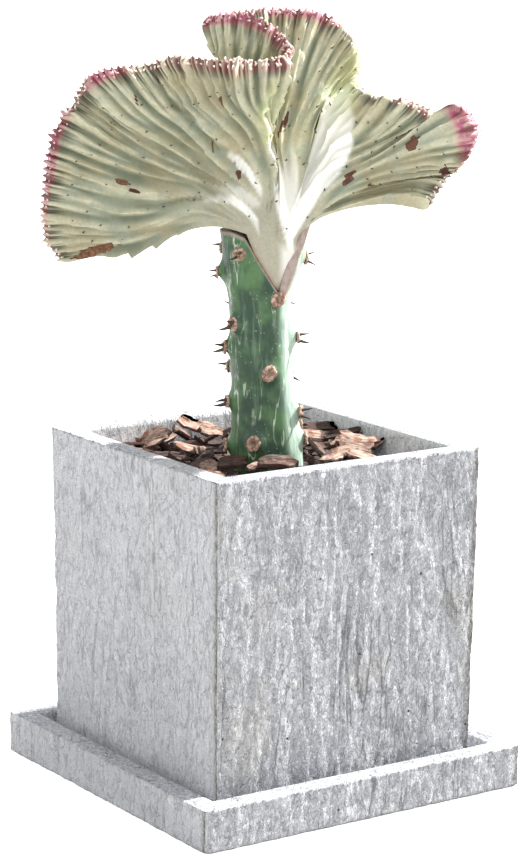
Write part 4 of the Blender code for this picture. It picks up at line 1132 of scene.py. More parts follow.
def scarMask(points, grown):
    # strength and redness of the scars for points on the front
    form = crestForm
    rises = np.array([g["rise"] for g in grown])
    strength = np.zeros(len(points))
    redness = np.zeros(len(points))
    wobble = np.array([noise.noise(Vector(p) * 0.35) + 0.6 * noise.noise(Vector(p) * 0.9) for p in points])
    for at, up, halfAlong, halfUp, red, deep in form["scars"]:
        row = grown[int(np.argmin(np.abs(rises - up)))]
        column = int(round(at * form["samples"]))
        centre = row["middle"][column] + row["normal"][column] * row["toFront"][column]
        away = points - centre
        a = away @ row["across"][column] / halfAlong
        b = away @ row["climb"][column] / halfUp
        c = away @ row["normal"][column] / 5.0
        distance = np.sqrt(a**2 + b**2 + c**2) + 0.45 * wobble
        mask = deep * smoothStep(1.1, 0.75, distance)
        redness = np.where(mask > strength, red, redness)
        strength = np.maximum(strength, mask)
    return strength, redness


def buildCrest(flesh):
    form = crestForm
    grown, rows, along, labels = growCrest()
    points = []
    values = {"rib": [], "slit": [], "wing": [], "bloom": [], "pink": [], "foot": [], "front": [], "heal": []}
    strings = []
    cutLeft = np.array([form["cutTip"], *form["cutLeft"]])
    cutRight = np.array([form["cutTip"], *form["cutRight"]])
    loops = []
    for z, columns in form["wedge"]:
        centre, halfSpread, halfDepth = stockAt(z)
        left = np.interp(z, cutLeft[:, 1], cutLeft[:, 0]) + 0.3
        right = np.interp(z, cutRight[:, 1], cutRight[:, 0]) - 0.3
        spread = np.linspace(left, right, columns + 1)
        chord = halfDepth * np.sqrt(1 - ((spread - centre) / (halfSpread + 1.5)) ** 2) + 0.5
        middle = np.stack([spread, 0 * spread, np.full_like(spread, z)], axis=1)
        heal = smoothStep(2.2, 0.3, np.minimum(spread - left, right - spread))
        blank = np.zeros(columns + 1)
        # the wedge's right part gets pale painted sunlight
        loops.append((middle, np.tile((0.0, -1.0, 0.0), (columns + 1, 1)), chord, chord, 0.0, blank + 0.5,
                      blank, blank,
                      smoothStep(6.0, 10.0, spread) * 0.6, blank, heal))
    for g in grown:
        s = slice(None, None, g["stride"])
        blank = np.zeros(len(g["rib"][s]))
        loops.append((g["middle"][s], g["normal"][s], g["toFront"][s], g["toBack"][s], g["rise"],
                      g["rib"][s], g["slit"][s],
                      g["wing"][s], g["bloom"][s], g["pink"][s], blank))
    for number, (middle, normal, toFront, toBack, rise, rib, slit, wing, bloom, pink,
                 heal) in enumerate(loops):
        # the far side has half the columns
        coarse = slice(None, None, 2 if len(middle) > 161 else 1)
        front = middle + normal * toFront[:, None]
        back = (middle - normal * toBack[:, None])[coarse]
        first = len(points)
        count = len(front)
        points.extend(front)
        points.extend(back)
        frontIds = list(range(first, first + count))
        backIds = list(range(first + count, first + count + len(back)))
        sides = []
        for end, inner in ((0, 1), (-1, -2)):
            outward = unit(middle[end] - middle[inner])
            gap = np.linalg.norm(front[end] - back[end])
            bulge = min(0.3 * gap, 2.4) * float(smoothStep(5, 9, number))
            start = len(points)
            points.append((3 * front[end] + back[end]) / 4 + outward * bulge * 0.7)
            points.append((front[end] + back[end]) / 2 + outward * bulge)
            points.append((front[end] + 3 * back[end]) / 4 + outward * bulge * 0.7)
            sides.append([frontIds[end], start, start + 1, start + 2, backIds[end]])
        foot = 1.0 - float(smoothStep(0.05, 0.5, rise))
        read = (("rib", rib), ("slit", slit), ("wing", wing), ("bloom", bloom), ("pink", pink),
                ("heal", heal))
        for label, numbers in read:
            ends = [numbers[0]] * 3 + [numbers[-1]] * 3
            other = numbers[coarse] * (0.0 if label in ("wing", "bloom") else 1.0)
            values[label].extend([*numbers, *other, *ends])
        values["foot"].extend([foot] * (count + len(back) + 6))
        values["front"].extend([1.0] * count + [0.0] * len(back) + [0.5] * 6)
        strings.append((frontIds, backIds, sides[0], sides[1]))
    # growing edge, with a small tooth on every rib
    last = grown[-1]
    phase = form["ribs"][-1][0] * np.interp(along, last["place"], labels)
    tooth = form["edgeTooth"] * np.cos(2 * math.pi * phase) * (0.6 + 0.8 * scatterValue(np.round(phase), 4.0))
    ragged = np.exp(-(((along - 0.145) / 0.03) ** 2)) + 0.6 * np.exp(-(((along - 0.02) / 0.03) ** 2))
    tooth = tooth + form["raggedTooth"] * ragged * np.cos(2 * math.pi * phase / 4.0)
    edge = rows[-1] + unit(rows[-1] - rows[-2]) * tooth[:, None]
    first = len(points)
    points.extend(edge)
    edgeIds = list(range(first, first + len(edge)))
    for label in ("rib", "slit", "wing", "bloom", "pink"):
        values[label].extend(last[label])
    for label, number in (("foot", 0.0), ("front", 0.5), ("heal", 0.0)):
        values[label].extend([number] * len(edge))
    frontIds, backIds, leftSide, rightSide = strings[-1]
    points = np.array(points)
    faces = []
    for below, above in zip(strings, strings[1:]):
        faces += stitch(below[0], above[0])
        faces += [tuple(reversed(f)) for f in stitch(below[1], above[1])]
        faces += [tuple(reversed(f)) for f in stitch(below[2], above[2])]
        faces += stitch(below[3], above[3])
    faces += stitch(frontIds, edgeIds) + [tuple(reversed(f)) for f in stitch(backIds, edgeIds)]
    faces += [(leftSide[k + 1], leftSide[k], edgeIds[0]) for k in range(4)]
    faces += [(rightSide[k], rightSide[k + 1], edgeIds[-1]) for k in range(4)]
    baseFront, baseBack, baseLeft, baseRight = strings[0]
    faces.append(tuple((baseFront + baseRight[1:-1] + baseBack[::-1] + baseLeft[-2:0:-1])[::-1]))
    strength, redness = scarMask(points, grown)
    strength = strength * (np.array(values["front"]) > 0.2)
    values["scar"] = strength
    values["red"] = redness
    crest = makeMesh("crestFan", toWorld(points), faces, True, flesh, values)
    addPiece(crest, "crest_skin", "crest")
    return grown, edge, labels


crestLook = {
    "valleyShade": (0.130, 0.158, 0.100),
    "ridge": (0.60, 0.58, 0.42),
    "olive": (0.42, 0.345, 0.20),
    "cool": (0.28, 0.33, 0.27),
    "bloom": (0.97, 0.96, 0.91),
    "trunk": (0.42, 0.395, 0.30),
    "wing": (0.60, 0.64, 0.30),
    "slit": (0.055, 0.052, 0.036),
    "pink": (0.42, 0.065, 0.17),
    "pinkPale": (0.58, 0.30, 0.28),
    "slitShadeRed": (0.14, 0.030, 0.032),
    "crust": (0.25, 0.125, 0.06),
    "red": (0.055, 0.012, 0.011),
    "rim": (0.80, 0.82, 0.52),
    "heal": (0.30, 0.20, 0.14),
}


def makeFlesh():
    look = crestLook
    material, tree, shader, place = startMaterial("crestFlesh", 0.5, {
        "Subsurface Weight": 0.08, "Subsurface Radius": (0.8, 1.0, 0.4), "Subsurface Scale": 0.002,
        "Specular IOR Level": 0.35,
    })
    rib = readValue(tree, (0, 1), "rib")
    foot = readValue(tree, (0, 3), "foot")
    pink = readValue(tree, (0, 4), "pink")
    wing = readValue(tree, (0, 5), "wing")
    scar = readValue(tree, (0, 6), "scar")
    red = readValue(tree, (0, 7), "red")
    heal = readValue(tree, (0, 8), "heal")
    slit = readValue(tree, (0, 9), "slit")
    broad = patchMask(tree, (1, 1), place, 34.0, 3.0, 0.42, 0.62)
    cool = patchMask(tree, (1, 2), place, 70.0, 4.0, 0.45, 0.7)
    fine = useGroup(tree, grainGroup, (1, 3), place, {"Scale": 900.0, "Bend": 0.2})
    broken = patchMask(tree, (1, 4), place, 260.0, 3.0, 0.35, 0.65)
    bloom = readValue(tree, (0, 10), "bloom")
    dusty = patchMask(tree, (1, 5), place, 620.0, 4.0, 0.3, 0.7)
    # painted shade: the rib tone darkens the valleys between the ribs
    high = remap(tree, (2, 0), rib, 0.04, 0.62)
    tone = mixColor(tree, (3, 0), high, look["valleyShade"], look["ridge"])
    tone = mixColor(tree, (4, 0), times(tree, (3, 1), broad, 0.55), tone, look["olive"])
    tone = mixColor(tree, (5, 0), times(tree, (4, 1), cool, 0.55), tone, look["cool"])
    tone = mixColor(tree, (6, 0), foot, tone, look["trunk"])
    tone = mixColor(tree, (6, 9), times(tree, (5, 9), dusty, 0.22), tone, look["valleyShade"])
    # pale painted sunlight where the sun would light the front
    paintedSunlightShare = times(tree, (6, 10), bloom, remap(tree, (5, 10), rib, 0.1, 0.5, 0.62, 1.0))
    tone = mixColor(tree, (7, 9), paintedSunlightShare, tone, look["bloom"])
    # painted backlight: wings and glow strokes are painted a glowing yellow-green, with a pale painted
    # highlight along the tallest wing rims
    tone = mixColor(tree, (7, 0), times(tree, (6, 1), wing, 0.75), tone, look["wing"])
    tone = mixColor(tree, (7, 10), remap(tree, (6, 11), wing, 0.72, 0.95, 0.0, 0.9), tone, look["rim"])
    strong = remap(tree, (5, 4), pink, 0.45, 0.95)
    blush = mixColor(tree, (6, 4), strong, look["pinkPale"], look["pink"])
    blushShare = times(tree, (6, 5), remap(tree, (5, 5), pink, 0.15, 0.85, 0.0, 0.9),
                        remap(tree, (5, 6), broken, 0.0, 1.0, 0.45, 1.0))
    tone = mixColor(tree, (8, 0), blushShare, tone, blush)
    # painted shade in the deep slits near the growing edge, reddish where the edge is pink
    deep = times(tree, (7, 3), remap(tree, (6, 3), slit, 0.3, 0.85), 0.92)
    slitShadeTone = mixColor(tree, (8, 1), remap(tree, (7, 1), pink, 0.12, 0.5), look["slit"], look["slitShadeRed"])
    tone = mixColor(tree, (9, 0), deep, tone, slitShadeTone)
    spots = patchMask(tree, (5, 7), place, 520.0, 4.0, 0.4, 0.6)
    rim = remap(tree, (6, 7), scar, 0.5, 0.75, 1.0, 0.0)
    dark = doMath(tree, (7, 7), "MAXIMUM", times(tree, (6, 8), spots, 0.6), rim)
    dark = doMath(tree, (8, 7), "MAXIMUM", dark, remap(tree, (7, 8), red, 0.2, 0.8, 0.0, 0.85))
    crust = mixColor(tree, (9, 6), dark, look["crust"], look["red"])
    tone = mixColor(tree, (10, 0), remap(tree, (9, 7), scar, 0.35, 0.5), tone, crust)
    tone = mixColor(tree, (11, 0), times(tree, (10, 1), heal, 0.85), tone, look["heal"])
    tree.links.new(tone, shader.inputs["Base Color"])
    height = doMath(tree, (9, 4), "ADD", fine.outputs["Height"], times(tree, (8, 5), spots, scar))
    addBump(tree, shader, height, 0.0005, 0.5)
    return material


# small curled teeth on the growing edge, and dark spines on the ribs
toothForm = {
    "perEdge": 160, "length": (1.7, 3.0), "radius": 0.75, "rows": (-0.8, 0.0, 0.8), "curl": 1.7, "seed": 14,
    # rows of the crest, counted from its edge, that give the teeth their direction and their room
    "wayRow": 4, "roomRow": 5, "drop": (1.9, 1.4, 1.9), "bare": (0.692, 0.742),
}
plantSpin = 3.14  # shapes set on points are turned up to this far each way
spineForm = {"length": (1.3, 2.5), "radius": 0.45, "seed": 9}


def arcPoint(way, turn):
    # end of an arc of this length that starts along +Z and has turned this far towards +X
    if turn < 1e-4:
        return Vector((0.0, 0.0, way))
    return Vector(((1.0 - math.cos(turn)) * way / turn, 0.0, math.sin(turn) * way / turn))


def hornMesh(name, length, radius, curl, sides, rings, blunt=0.6):
    # tapered horn along +Z from the origin that bends towards +X, in mm
    points = []
    for ring in range(rings):
        share = ring / rings
        turn = curl * share
        centre = arcPoint(length * share, turn)
        size = radius * (1.0 - share) ** blunt
        for k in range(sides):
            a = 2 * math.pi * k / sides
            across = size * math.cos(a)
            points.append(centre + Vector((across * math.cos(turn), size * math.sin(a),
                                           -across * math.sin(turn))))
    points.append(arcPoint(length, curl))
    faces = [tuple(range(sides))[::-1], *loftRings(rings, sides)]
    last = (rings - 1) * sides
    faces += [(last + k, last + (k + 1) % sides, len(points) - 1) for k in range(sides)]
    shares = [ring / rings for ring in range(rings) for _ in range(sides)] + [1.0]
    return makeMesh(name, points, faces, True, None, {"tip": shares})


def makePlantTree(name):
    # sets one shape on every point, turned to the point's own direction
    tree, start = startTree(name, "GeometryNodeTree", (
        ("Geometry", "Geometry"), ("Shape", "Object"), ("Spin", "Float", plantSpin), ("Seed", "Int", 1),
        ("Finish", "Material"),
    ), (("Geometry", "Geometry"),))
    shape = putNode(tree, "GeometryNodeObjectInfo", (1, 1), {"transform_space": "ORIGINAL"})
    tree.links.new(start.outputs["Shape"], shape.inputs["Object"])
    way = putNode(tree, "GeometryNodeInputNamedAttribute", (1, 2), {"data_type": "FLOAT_VECTOR"},
                  {"Name": "way"})
    size = putNode(tree, "GeometryNodeInputNamedAttribute", (1, 3), {"data_type": "FLOAT"}, {"Name": "size"})
    align = putNode(tree, "FunctionNodeAlignRotationToVector", (2, 2), {"axis": "Z"})
    tree.links.new(way.outputs["Attribute"], align.inputs["Vector"])
    spin = putNode(tree, "FunctionNodeRandomValue", (2, 4), {"data_type": "FLOAT"})
    floats = [s for s in spin.inputs if s.type == "VALUE"]
    tree.links.new(times(tree, (1, 5), start.outputs["Spin"], -1.0), floats[0])
    tree.links.new(start.outputs["Spin"], floats[1])
    tree.links.new(start.outputs["Seed"], spin.inputs["Seed"])
    turn = putNode(tree, "ShaderNodeCombineXYZ", (3, 4))
    tree.links.new([s for s in spin.outputs if s.type == "VALUE"][0], turn.inputs[2])
    rotate = putNode(tree, "FunctionNodeRotateRotation", (4, 2), {"rotation_space": "LOCAL"})
    tree.links.new(align.outputs["Rotation"], rotate.inputs["Rotation"])
    tree.links.new(turn.outputs[0], rotate.inputs["Rotate By"])
    plant = putNode(tree, "GeometryNodeInstanceOnPoints", (5, 0))
    tree.links.new(start.outputs["Geometry"], plant.inputs["Points"])
    tree.links.new(shape.outputs["Geometry"], plant.inputs["Instance"])
    tree.links.new(rotate.outputs["Rotation"], plant.inputs["Rotation"])
    tree.links.new(size.outputs["Attribute"], plant.inputs["Scale"])
    return endTree(tree, 6, plant.outputs["Instances"], start)


def plantShapes(name, spots, ways, sizes, values, shape, seed, finish):
    obj = makeMesh(name, spots, [], False, None, {"size": sizes, **values})
    addVectors(obj, "way", ways)
    runTree(obj, plantTree, {"Shape": shape, "Spin": plantSpin, "Seed": seed, "Finish": finish})
    obj.data.polygons.foreach_set("use_smooth", [True] * len(obj.data.polygons))
    return obj


def buildTeeth(grown, edge, finish):
    form = toothForm
    rng = random.Random(form["seed"])
    thick = grown[-form["roomRow"]]
    spots = []
    ways = []
    sizes = []
    pinks = []
    outward = unit(edge - grown[-form["wayRow"]]["middle"])
    for row, offset in enumerate(form["rows"]):
        for k in range(form["perEdge"]):
            at = (k + 0.5 + (0.5 if row == 1 else 0.0)) / form["perEdge"] + rng.uniform(-0.0008, 0.0008)
            column = min(int(round(at * crestForm["samples"])), crestForm["samples"])
            normal = thick["normal"][column]
            reach = thick["toFront"][column] if offset > 0 else thick["toBack"][column]
            if form["bare"][0] < at < form["bare"][1] and (k + row) % 3:
                continue
            spot = edge[column] + normal * offset * reach - outward[column] * form["drop"][row]
            sideways = thick["across"][column] * rng.uniform(-0.25, 0.25)
            lean = unit(outward[column] + normal * offset * 0.7 + sideways)
            spots.append(spot)
            ways.append(lean)
            sizes.append(rng.uniform(*form["length"]) / form["length"][1])
            pinks.append(np.interp(at, crestForm["pinkAt"], crestForm["pink"]) * rng.uniform(0.75, 1.15))
    shape = hornMesh("toothShape", form["length"][1], form["radius"], form["curl"], 6, 5, 0.35)
    teeth = plantShapes("edgeTeeth", toWorld(spots), toWorld(ways), sizes, {"pink": pinks}, shape,
                        form["seed"], finish)
    bpy.data.objects.remove(shape, do_unlink=True)
    addPiece(teeth, "crest_skin")


def buildSpines(grown, labels, finish):
    form = spineForm
    rng = random.Random(form["seed"])
    spots = []
    ways = []
    sizes = []
    ribs = crestForm["ribs"]
    fronts = [g for g in grown if 0.05 < g["rise"] < 0.8]
    solid = np.concatenate([g["middle"] + g["normal"] * g["toFront"][:, None] for g in fronts])
    around = np.concatenate([g["normal"] for g in fronts])
    where = np.tile(np.linspace(0.0, 1.0, crestForm["samples"] + 1), len(fronts))
    drawn = seenFrom(solid)
    for number, (path, _, _, spacing, (low, high)) in enumerate(crestForm["ridges"]):
        path = np.array(path)
        length = np.concatenate([[0.0], np.cumsum(np.linalg.norm(np.diff(path, axis=0), axis=1))])
        for step in range(1, 12):
            reach = (step - 0.4 * number % 1.0) * spacing
            if not 5.0 < reach < length[-1] - 3.0:
                continue
            spot = np.array([np.interp(reach, length, path[:, axis]) for axis in (0, 1)])
            off = np.linalg.norm(drawn - spot, axis=1)
            off = off + 99.0 * ((where < low) | (where > high)) + 0.02 * solid[:, 1]
            found = int(np.argmin(off))
            spots.append(solid[found] - 0.2 * around[found])
            ways.append(unit(around[found] + np.array((0.25, 0.0, 0.35))))
            sizes.append(1.0)
    for number, (count, start, _, _, _) in enumerate(ribs[:3]):
        for rib in range(1, count):
            if number and rib % 2 == 0:
                continue
            for g, after in zip(grown, grown[1:]):
                if g["rise"] < start + 0.1 or g["rise"] > 0.9:
                    continue
                place = float(np.interp(rib / count, labels, g["place"]))
                column = int(round(place * crestForm["samples"]))
                shift = float(scatterValue(rib, number + 3.0))
                step = g["climbed"][column] / crestForm["stepSpacing"] + shift
                later = after["climbed"][column] / crestForm["stepSpacing"] + shift
                if math.floor(later) > math.floor(step) and rng.random() < 0.85 and g["bloom"][column] < 0.3:
                    for side in (1.0, -1.0):
                        reach = g["toFront"][column] if side > 0 else g["toBack"][column]
                        normal = g["normal"][column] * side
                        spots.append(g["middle"][column] + normal * (reach - 0.3))
                        ways.append(unit(normal + g["climb"][column] * 0.5))
                        sizes.append(rng.uniform(*form["length"]) / form["length"][1])
    shape = hornMesh("spineShape", form["length"][1], form["radius"], 0.3, 5, 3)
    spines = plantShapes("ribSpines", toWorld(spots), toWorld(ways), sizes, {}, shape, form["seed"], finish)
    bpy.data.objects.remove(shape, do_unlink=True)
    addPiece(spines, "crest_skin")


toothLook = {"base": (0.36, 0.17, 0.13), "tip": (0.90, 0.84, 0.76), "pinkBase": (0.26, 0.03, 0.07),
             "pinkTip": (0.86, 0.62, 0.65)}


def makeToothFinish():
    look = toothLook
    material, tree, shader, place = startMaterial("toothSkin", 0.45)
    tip = readValue(tree, (0, 1), "tip")
    pink = readValue(tree, (0, 2), "pink")
    fine = patchMask(tree, (1, 3), place, 500.0, 2.0, 0.35, 0.65)
    plain = mixColor(tree, (2, 0), remap(tree, (1, 0), tip, 0.1, 0.65), look["base"], look["tip"])
    blush = mixColor(tree, (2, 1), remap(tree, (1, 1), tip, 0.2, 0.95), look["pinkBase"], look["pinkTip"])
    tone = mixColor(tree, (4, 0), remap(tree, (3, 1), pink, 0.4, 0.95), plain, blush)
    tone = mixColor(tree, (5, 0), times(tree, (4, 3), fine, 0.25), tone, look["tip"])
    tree.links.new(tone, shader.inputs["Base Color"])
    addBump(tree, shader, fine, 0.0002, 0.4)
    return material


def makeSpineFinish():
    material, tree, shader, place = startMaterial("spineHorn", 0.5)
    tip = readValue(tree, (0, 1), "tip")
    fine = useGroup(tree, grainGroup, (1, 2), place, {"Scale": 1500.0, "Bend": 0.0})
    tone = mixColor(tree, (2, 0), remap(tree, (1, 1), tip, 0.2, 0.9), (0.06, 0.045, 0.03),
                    (0.025, 0.02, 0.018))
    tree.links.new(tone, shader.inputs["Base Color"])
    addBump(tree, shader, fine.outputs["Height"], 0.0001, 0.4)
    return material


# green stock with its knobs, cut to a V for the crest
stockForm = {
    "profile": (
        (92.0, 4.5, 5.0, 5.0), (110.0, 4.2, 10.0, 10.0), (132.0, 3.6, 14.5, 14.5), (150.0, 2.7, 17.4, 16.6),
        (162.0, 2.1, 17.0, 16.2), (174.0, 1.0, 16.0, 15.4), (188.0, -0.1, 15.2, 15.0),
        (210.0, -1.2, 14.9, 14.8),
        (235.0, -2.3, 15.0, 14.8), (242.0, -2.4, 16.0, 15.0), (250.0, -1.9, 18.2, 15.6),
        (264.0, -0.8, 20.2, 16.0),
        (273.0, -0.1, 22.2, 16.2), (283.0, 0.4, 23.6, 16.2),
    ),
    # angle round the axis from the front, height, spine length
    "knobs": (
        (-29, 259, 5.5), (-90, 248, 5.0), (30, 237.5, 0.0), (-46, 225, 7.5), (-78, 212.5, 7.5),
        (12, 202, 0.0), (90, 217, 7.0), (106, 255, 6.0), (-76, 186, 8.0), (76, 181, 6.5),
        (-18, 168, 0.0), (-86, 164, 0.0), (88, 167.5, 0.0), (140, 234, 7.0), (-142, 229, 7.0),
        (180, 211, 7.0), (134, 197, 7.0), (-122, 201, 6.5), (-160, 179, 7.0), (124, 172, 0.0),
        (-166, 245, 6.0), (-126, 259, 6.0),
    ),
    "rise": 3.0,
    "radius": 4.3,
    "segments": 120,
    "rows": 110,
    "rootHeights": (92.0, 104.0, 118.0, 132.0, 144.0),
    "skinFrom": 149.0,
    "cutGuess": 270.0,
    "callusFrom": 200.0,
    "litSideWay": (0.865, 0.502),
    "thornLength": 9.0,
    "thornRadius": 1.25,
    "thornSeed": 5,
    "padSeed": 6,
    "callusPath": (
        (7.8, -13.6, 236.5), (10.5, -12.6, 246.0), (13.6, -10.4, 256.0), (16.2, -7.8, 264.0),
        (18.6, -5.4, 271.0),
        (21.4, -3.8, 277.5), (25.0, -3.6, 283.0),
    ),
    "callusRings": 26,
    "callusSides": 10,
    "callusOut": (0.55, -0.83, 0.0),
}


def stockAt(z):
    table = np.array(stockForm["profile"])
    return [np.interp(z, table[:, 0], table[:, k]) for k in (1, 2, 3)]


def stockPoint(turn, z):
    # point of the skin, in (spread, depth, z), and how near it is to a knob's top
    centre, halfSpread, halfDepth = stockAt(z)
    grow = 0.35 * math.cos(5 * turn + z / 60.0) * float(smoothStep(150.0, 165.0, z))
    knob = 0.0
    for angle, height, _ in stockForm["knobs"]:
        apart = math.remainder(turn - math.radians(angle), 2 * math.pi) * halfSpread
        away = math.hypot(apart, (z - height) * (0.85 if z > height else 1.0)) / stockForm["radius"]
        if away < 3.0:
            grow += stockForm["rise"] * math.exp(-(away**2.2))
            knob = max(knob, math.exp(-((away / 0.62) ** 4)))
    spot = Vector((math.sin(turn) * 2.2, math.cos(turn) * 2.2, z * 0.045))
    grow += 0.35 * noise.noise(spot) + 0.18 * noise.noise(spot * 3.3)
    spread = centre + (halfSpread + grow) * math.sin(turn)
    return (spread, -(halfDepth + grow) * math.cos(turn), z), knob


def cutHeight(spread):
    # height of the V cut above a place along the spread
    tip = crestForm["cutTip"]
    left = [tip, *crestForm["cutLeft"]]
    right = [tip, *crestForm["cutRight"]]
    if spread < tip[0]:
        xs = [-p[0] for p in left]
        return float(np.interp(-spread, xs, [p[1] for p in left]))
    return float(np.interp(spread, [p[0] for p in right], [p[1] for p in right]))


def buildStock(skin):
    form = stockForm
    segments = form["segments"]
    tops = []
    for k in range(segments):
        turn = 2 * math.pi * k / segments
        z = form["cutGuess"]
        for _ in range(30):
            (spread, _, _), _ = stockPoint(turn, z)
            z = 0.5 * z + 0.5 * cutHeight(spread)
        tops.append(z)
    points = []
    knobs = []
    callus = []
    heights = form["rootHeights"]
    skinFrom = form["skinFrom"]
    shares = [row / form["rows"] for row in range(form["rows"] + 1)]
    for row in range(len(heights) + len(shares)):
        for k in range(segments):
            turn = 2 * math.pi * k / segments
            if row < len(heights):
                z = heights[row]
            else:
                z = skinFrom + (tops[k] - skinFrom) * shares[row - len(heights)]
            point, knob = stockPoint(turn, z)
            points.append(point)
            knobs.append(knob)
            below = cutHeight(point[0]) - z
            side = smoothStep(6.0, 9.0, point[0])
            reach = 1.4 + 7.5 * float(side)
            callus.append(float(smoothStep(reach, reach * 0.6, below)) if z > form["callusFrom"] else 0.0)
    rows = len(heights) + len(shares)
    faces = loftRings(rows, segments)
    faces.append(tuple(range(segments))[::-1])
    # cut faces join each front point to the back point that mirrors it
    base = (rows - 1) * segments
    quarter = segments // 4
    for k in range(-quarter, quarter):
        a, b = k % segments, (k + 1) % segments
        c, d = (segments // 2 - k - 1) % segments, (segments // 2 - k) % segments
        ring = [base + a, base + b, base + c, base + d]
        ring = [v for i, v in enumerate(ring) if v not in ring[:i]]
        faces.append(tuple(ring))
    # pale painted sunlight on the side that the light comes from
    waxy = []
    for point in points:
        away = unit(np.array((point[0] - stockAt(point[2])[0], point[1])))
        waxy.append(0.85 * float(smoothStep(-0.05, 0.5, away @ np.array(form["litSideWay"]))))
    stock = makeMesh("greenStock", toWorld(points), faces, True, skin,
                     {"knob": knobs, "callus": callus, "waxy": waxy})
    addPiece(stock, "stock_skin", "stock")


def buildStockSpines(horn, cork, skin):
    form = stockForm
    spots = []
    ways = []
    sizes = []
    pads = []
    padWays = []
    padSizes = []
    for angle, height, length in form["knobs"]:
        turn = math.radians(angle)
        (spread, depth, z), _ = stockPoint(turn, height)
        out = np.array((math.sin(turn), -math.cos(turn), 0.0))
        beside = np.array((math.cos(turn), math.sin(turn), 0.0))
        pads.append(np.array((spread, depth, z)) - out * 0.5)
        padWays.append(out)
        padSizes.append(1.0 if length else 1.1)
        if not length:
            continue
        for side in (-1, 1):
            way = unit(out * 0.95 + beside * 0.3 * side + np.array((0.0, 0.0, 0.22 * side - 0.12)))
            root = np.array((spread, depth, z)) - out * 1.2 + beside * 0.8 * side
            spots.append(root + np.array((0.0, 0.0, 0.9 * side)))
            ways.append(way)
            sizes.append((length + 1.8) / form["thornLength"])
    shape = hornMesh("thornShape", form["thornLength"], form["thornRadius"], 0.3, 7, 6, 0.95)
    thorns = plantShapes("stockSpines", toWorld(spots), toWorld(ways), sizes, {}, shape, form["thornSeed"],
                         horn)
    bpy.data.objects.remove(shape, do_unlink=True)
    addPiece(thorns, "stock_skin")
    pad = padMesh("padShape")
    corks = plantShapes("stockAreoles", toWorld(pads), toWorld(padWays), padSizes, {}, pad, form["padSeed"],
                        cork)
    bpy.data.objects.remove(pad, do_unlink=True)
    addPiece(corks, "stock_skin")
    # callus lip up the right side of the cut
    points = []
    sides = form["callusSides"]
    path = smoothCurve(form["callusPath"], form["callusRings"])
    widths = np.interp(np.linspace(0, 1, form["callusRings"]), (0.0, 0.1, 0.3, 0.7, 1.0),
                       (0.8, 2.2, 3.0, 2.4, 0.8))
    for number, (spot, half) in enumerate(zip(path, widths)):
        along = unit(path[min(number + 1, len(path) - 1)] - path[max(number - 1, 0)])
        out = unit(np.cross(along, np.cross(np.array(form["callusOut"]), along)))
        beside = np.cross(along, out)
        for k in range(sides):
            a = 2 * math.pi * k / sides
            rough = 1.0 + 0.16 * noise.noise(Vector((spot[2] * 0.4, math.cos(a) * 1.4, math.sin(a) * 1.4)))
            flat = min(1.5, half * 0.7)
            points.append(spot + (beside * math.cos(a) * half + out * math.sin(a) * flat) * rough)
    rings = len(path)
    faces = [tuple(range(sides)), tuple(range((rings - 1) * sides, rings * sides))[::-1]]
    faces += [face[::-1] for face in loftRings(rings, sides)]
    lip = makeMesh("graftCallus", toWorld(points), faces, True, skin, {
        "knob": [0.0] * len(points), "callus": [1.0] * len(points), "waxy": [0.0] * len(points),
    })
    addPiece(lip, "stock_skin")


def padMesh(name):
    # low corky cushion, flat side down at the origin, in mm
    rng = random.Random(3)
    rings = ((3.7, 0.0), (3.6, 0.8), (2.9, 1.35), (1.7, 1.0), (0.7, 0.5))
    sides = 16
    points = []
    for radius, z in rings:
        for k in range(sides):
            a = 2 * math.pi * k / sides
            size = radius * rng.uniform(0.86, 1.1)
            points.append(Vector((size * 0.85 * math.cos(a), size * math.sin(a), z * rng.uniform(0.7, 1.25))))
    points.append(Vector((0.0, 0.0, 0.5)))
    faces = [tuple(range(sides))[::-1], *loftRings(len(rings), sides)]
    last = (len(rings) - 1) * sides
    faces += [(last + k, last + (k + 1) % sides, len(points) - 1) for k in range(sides)]
    tips = [ring / 4 for ring in range(5) for _ in range(sides)] + [1.0]
    return makeMesh(name, points, faces, True, None, {"tip": tips})


stockLook = {
    "deep": (0.015, 0.052, 0.024), "green": (0.073, 0.168, 0.057), "pale": (0.22, 0.32, 0.21),
    "streak": (0.62, 0.67, 0.58), "litSidePale": (0.52, 0.66, 0.55),
    "callus": (0.40, 0.32, 0.28), "callusDark": (0.16, 0.10, 0.075), "knob": (0.26, 0.34, 0.24),
}


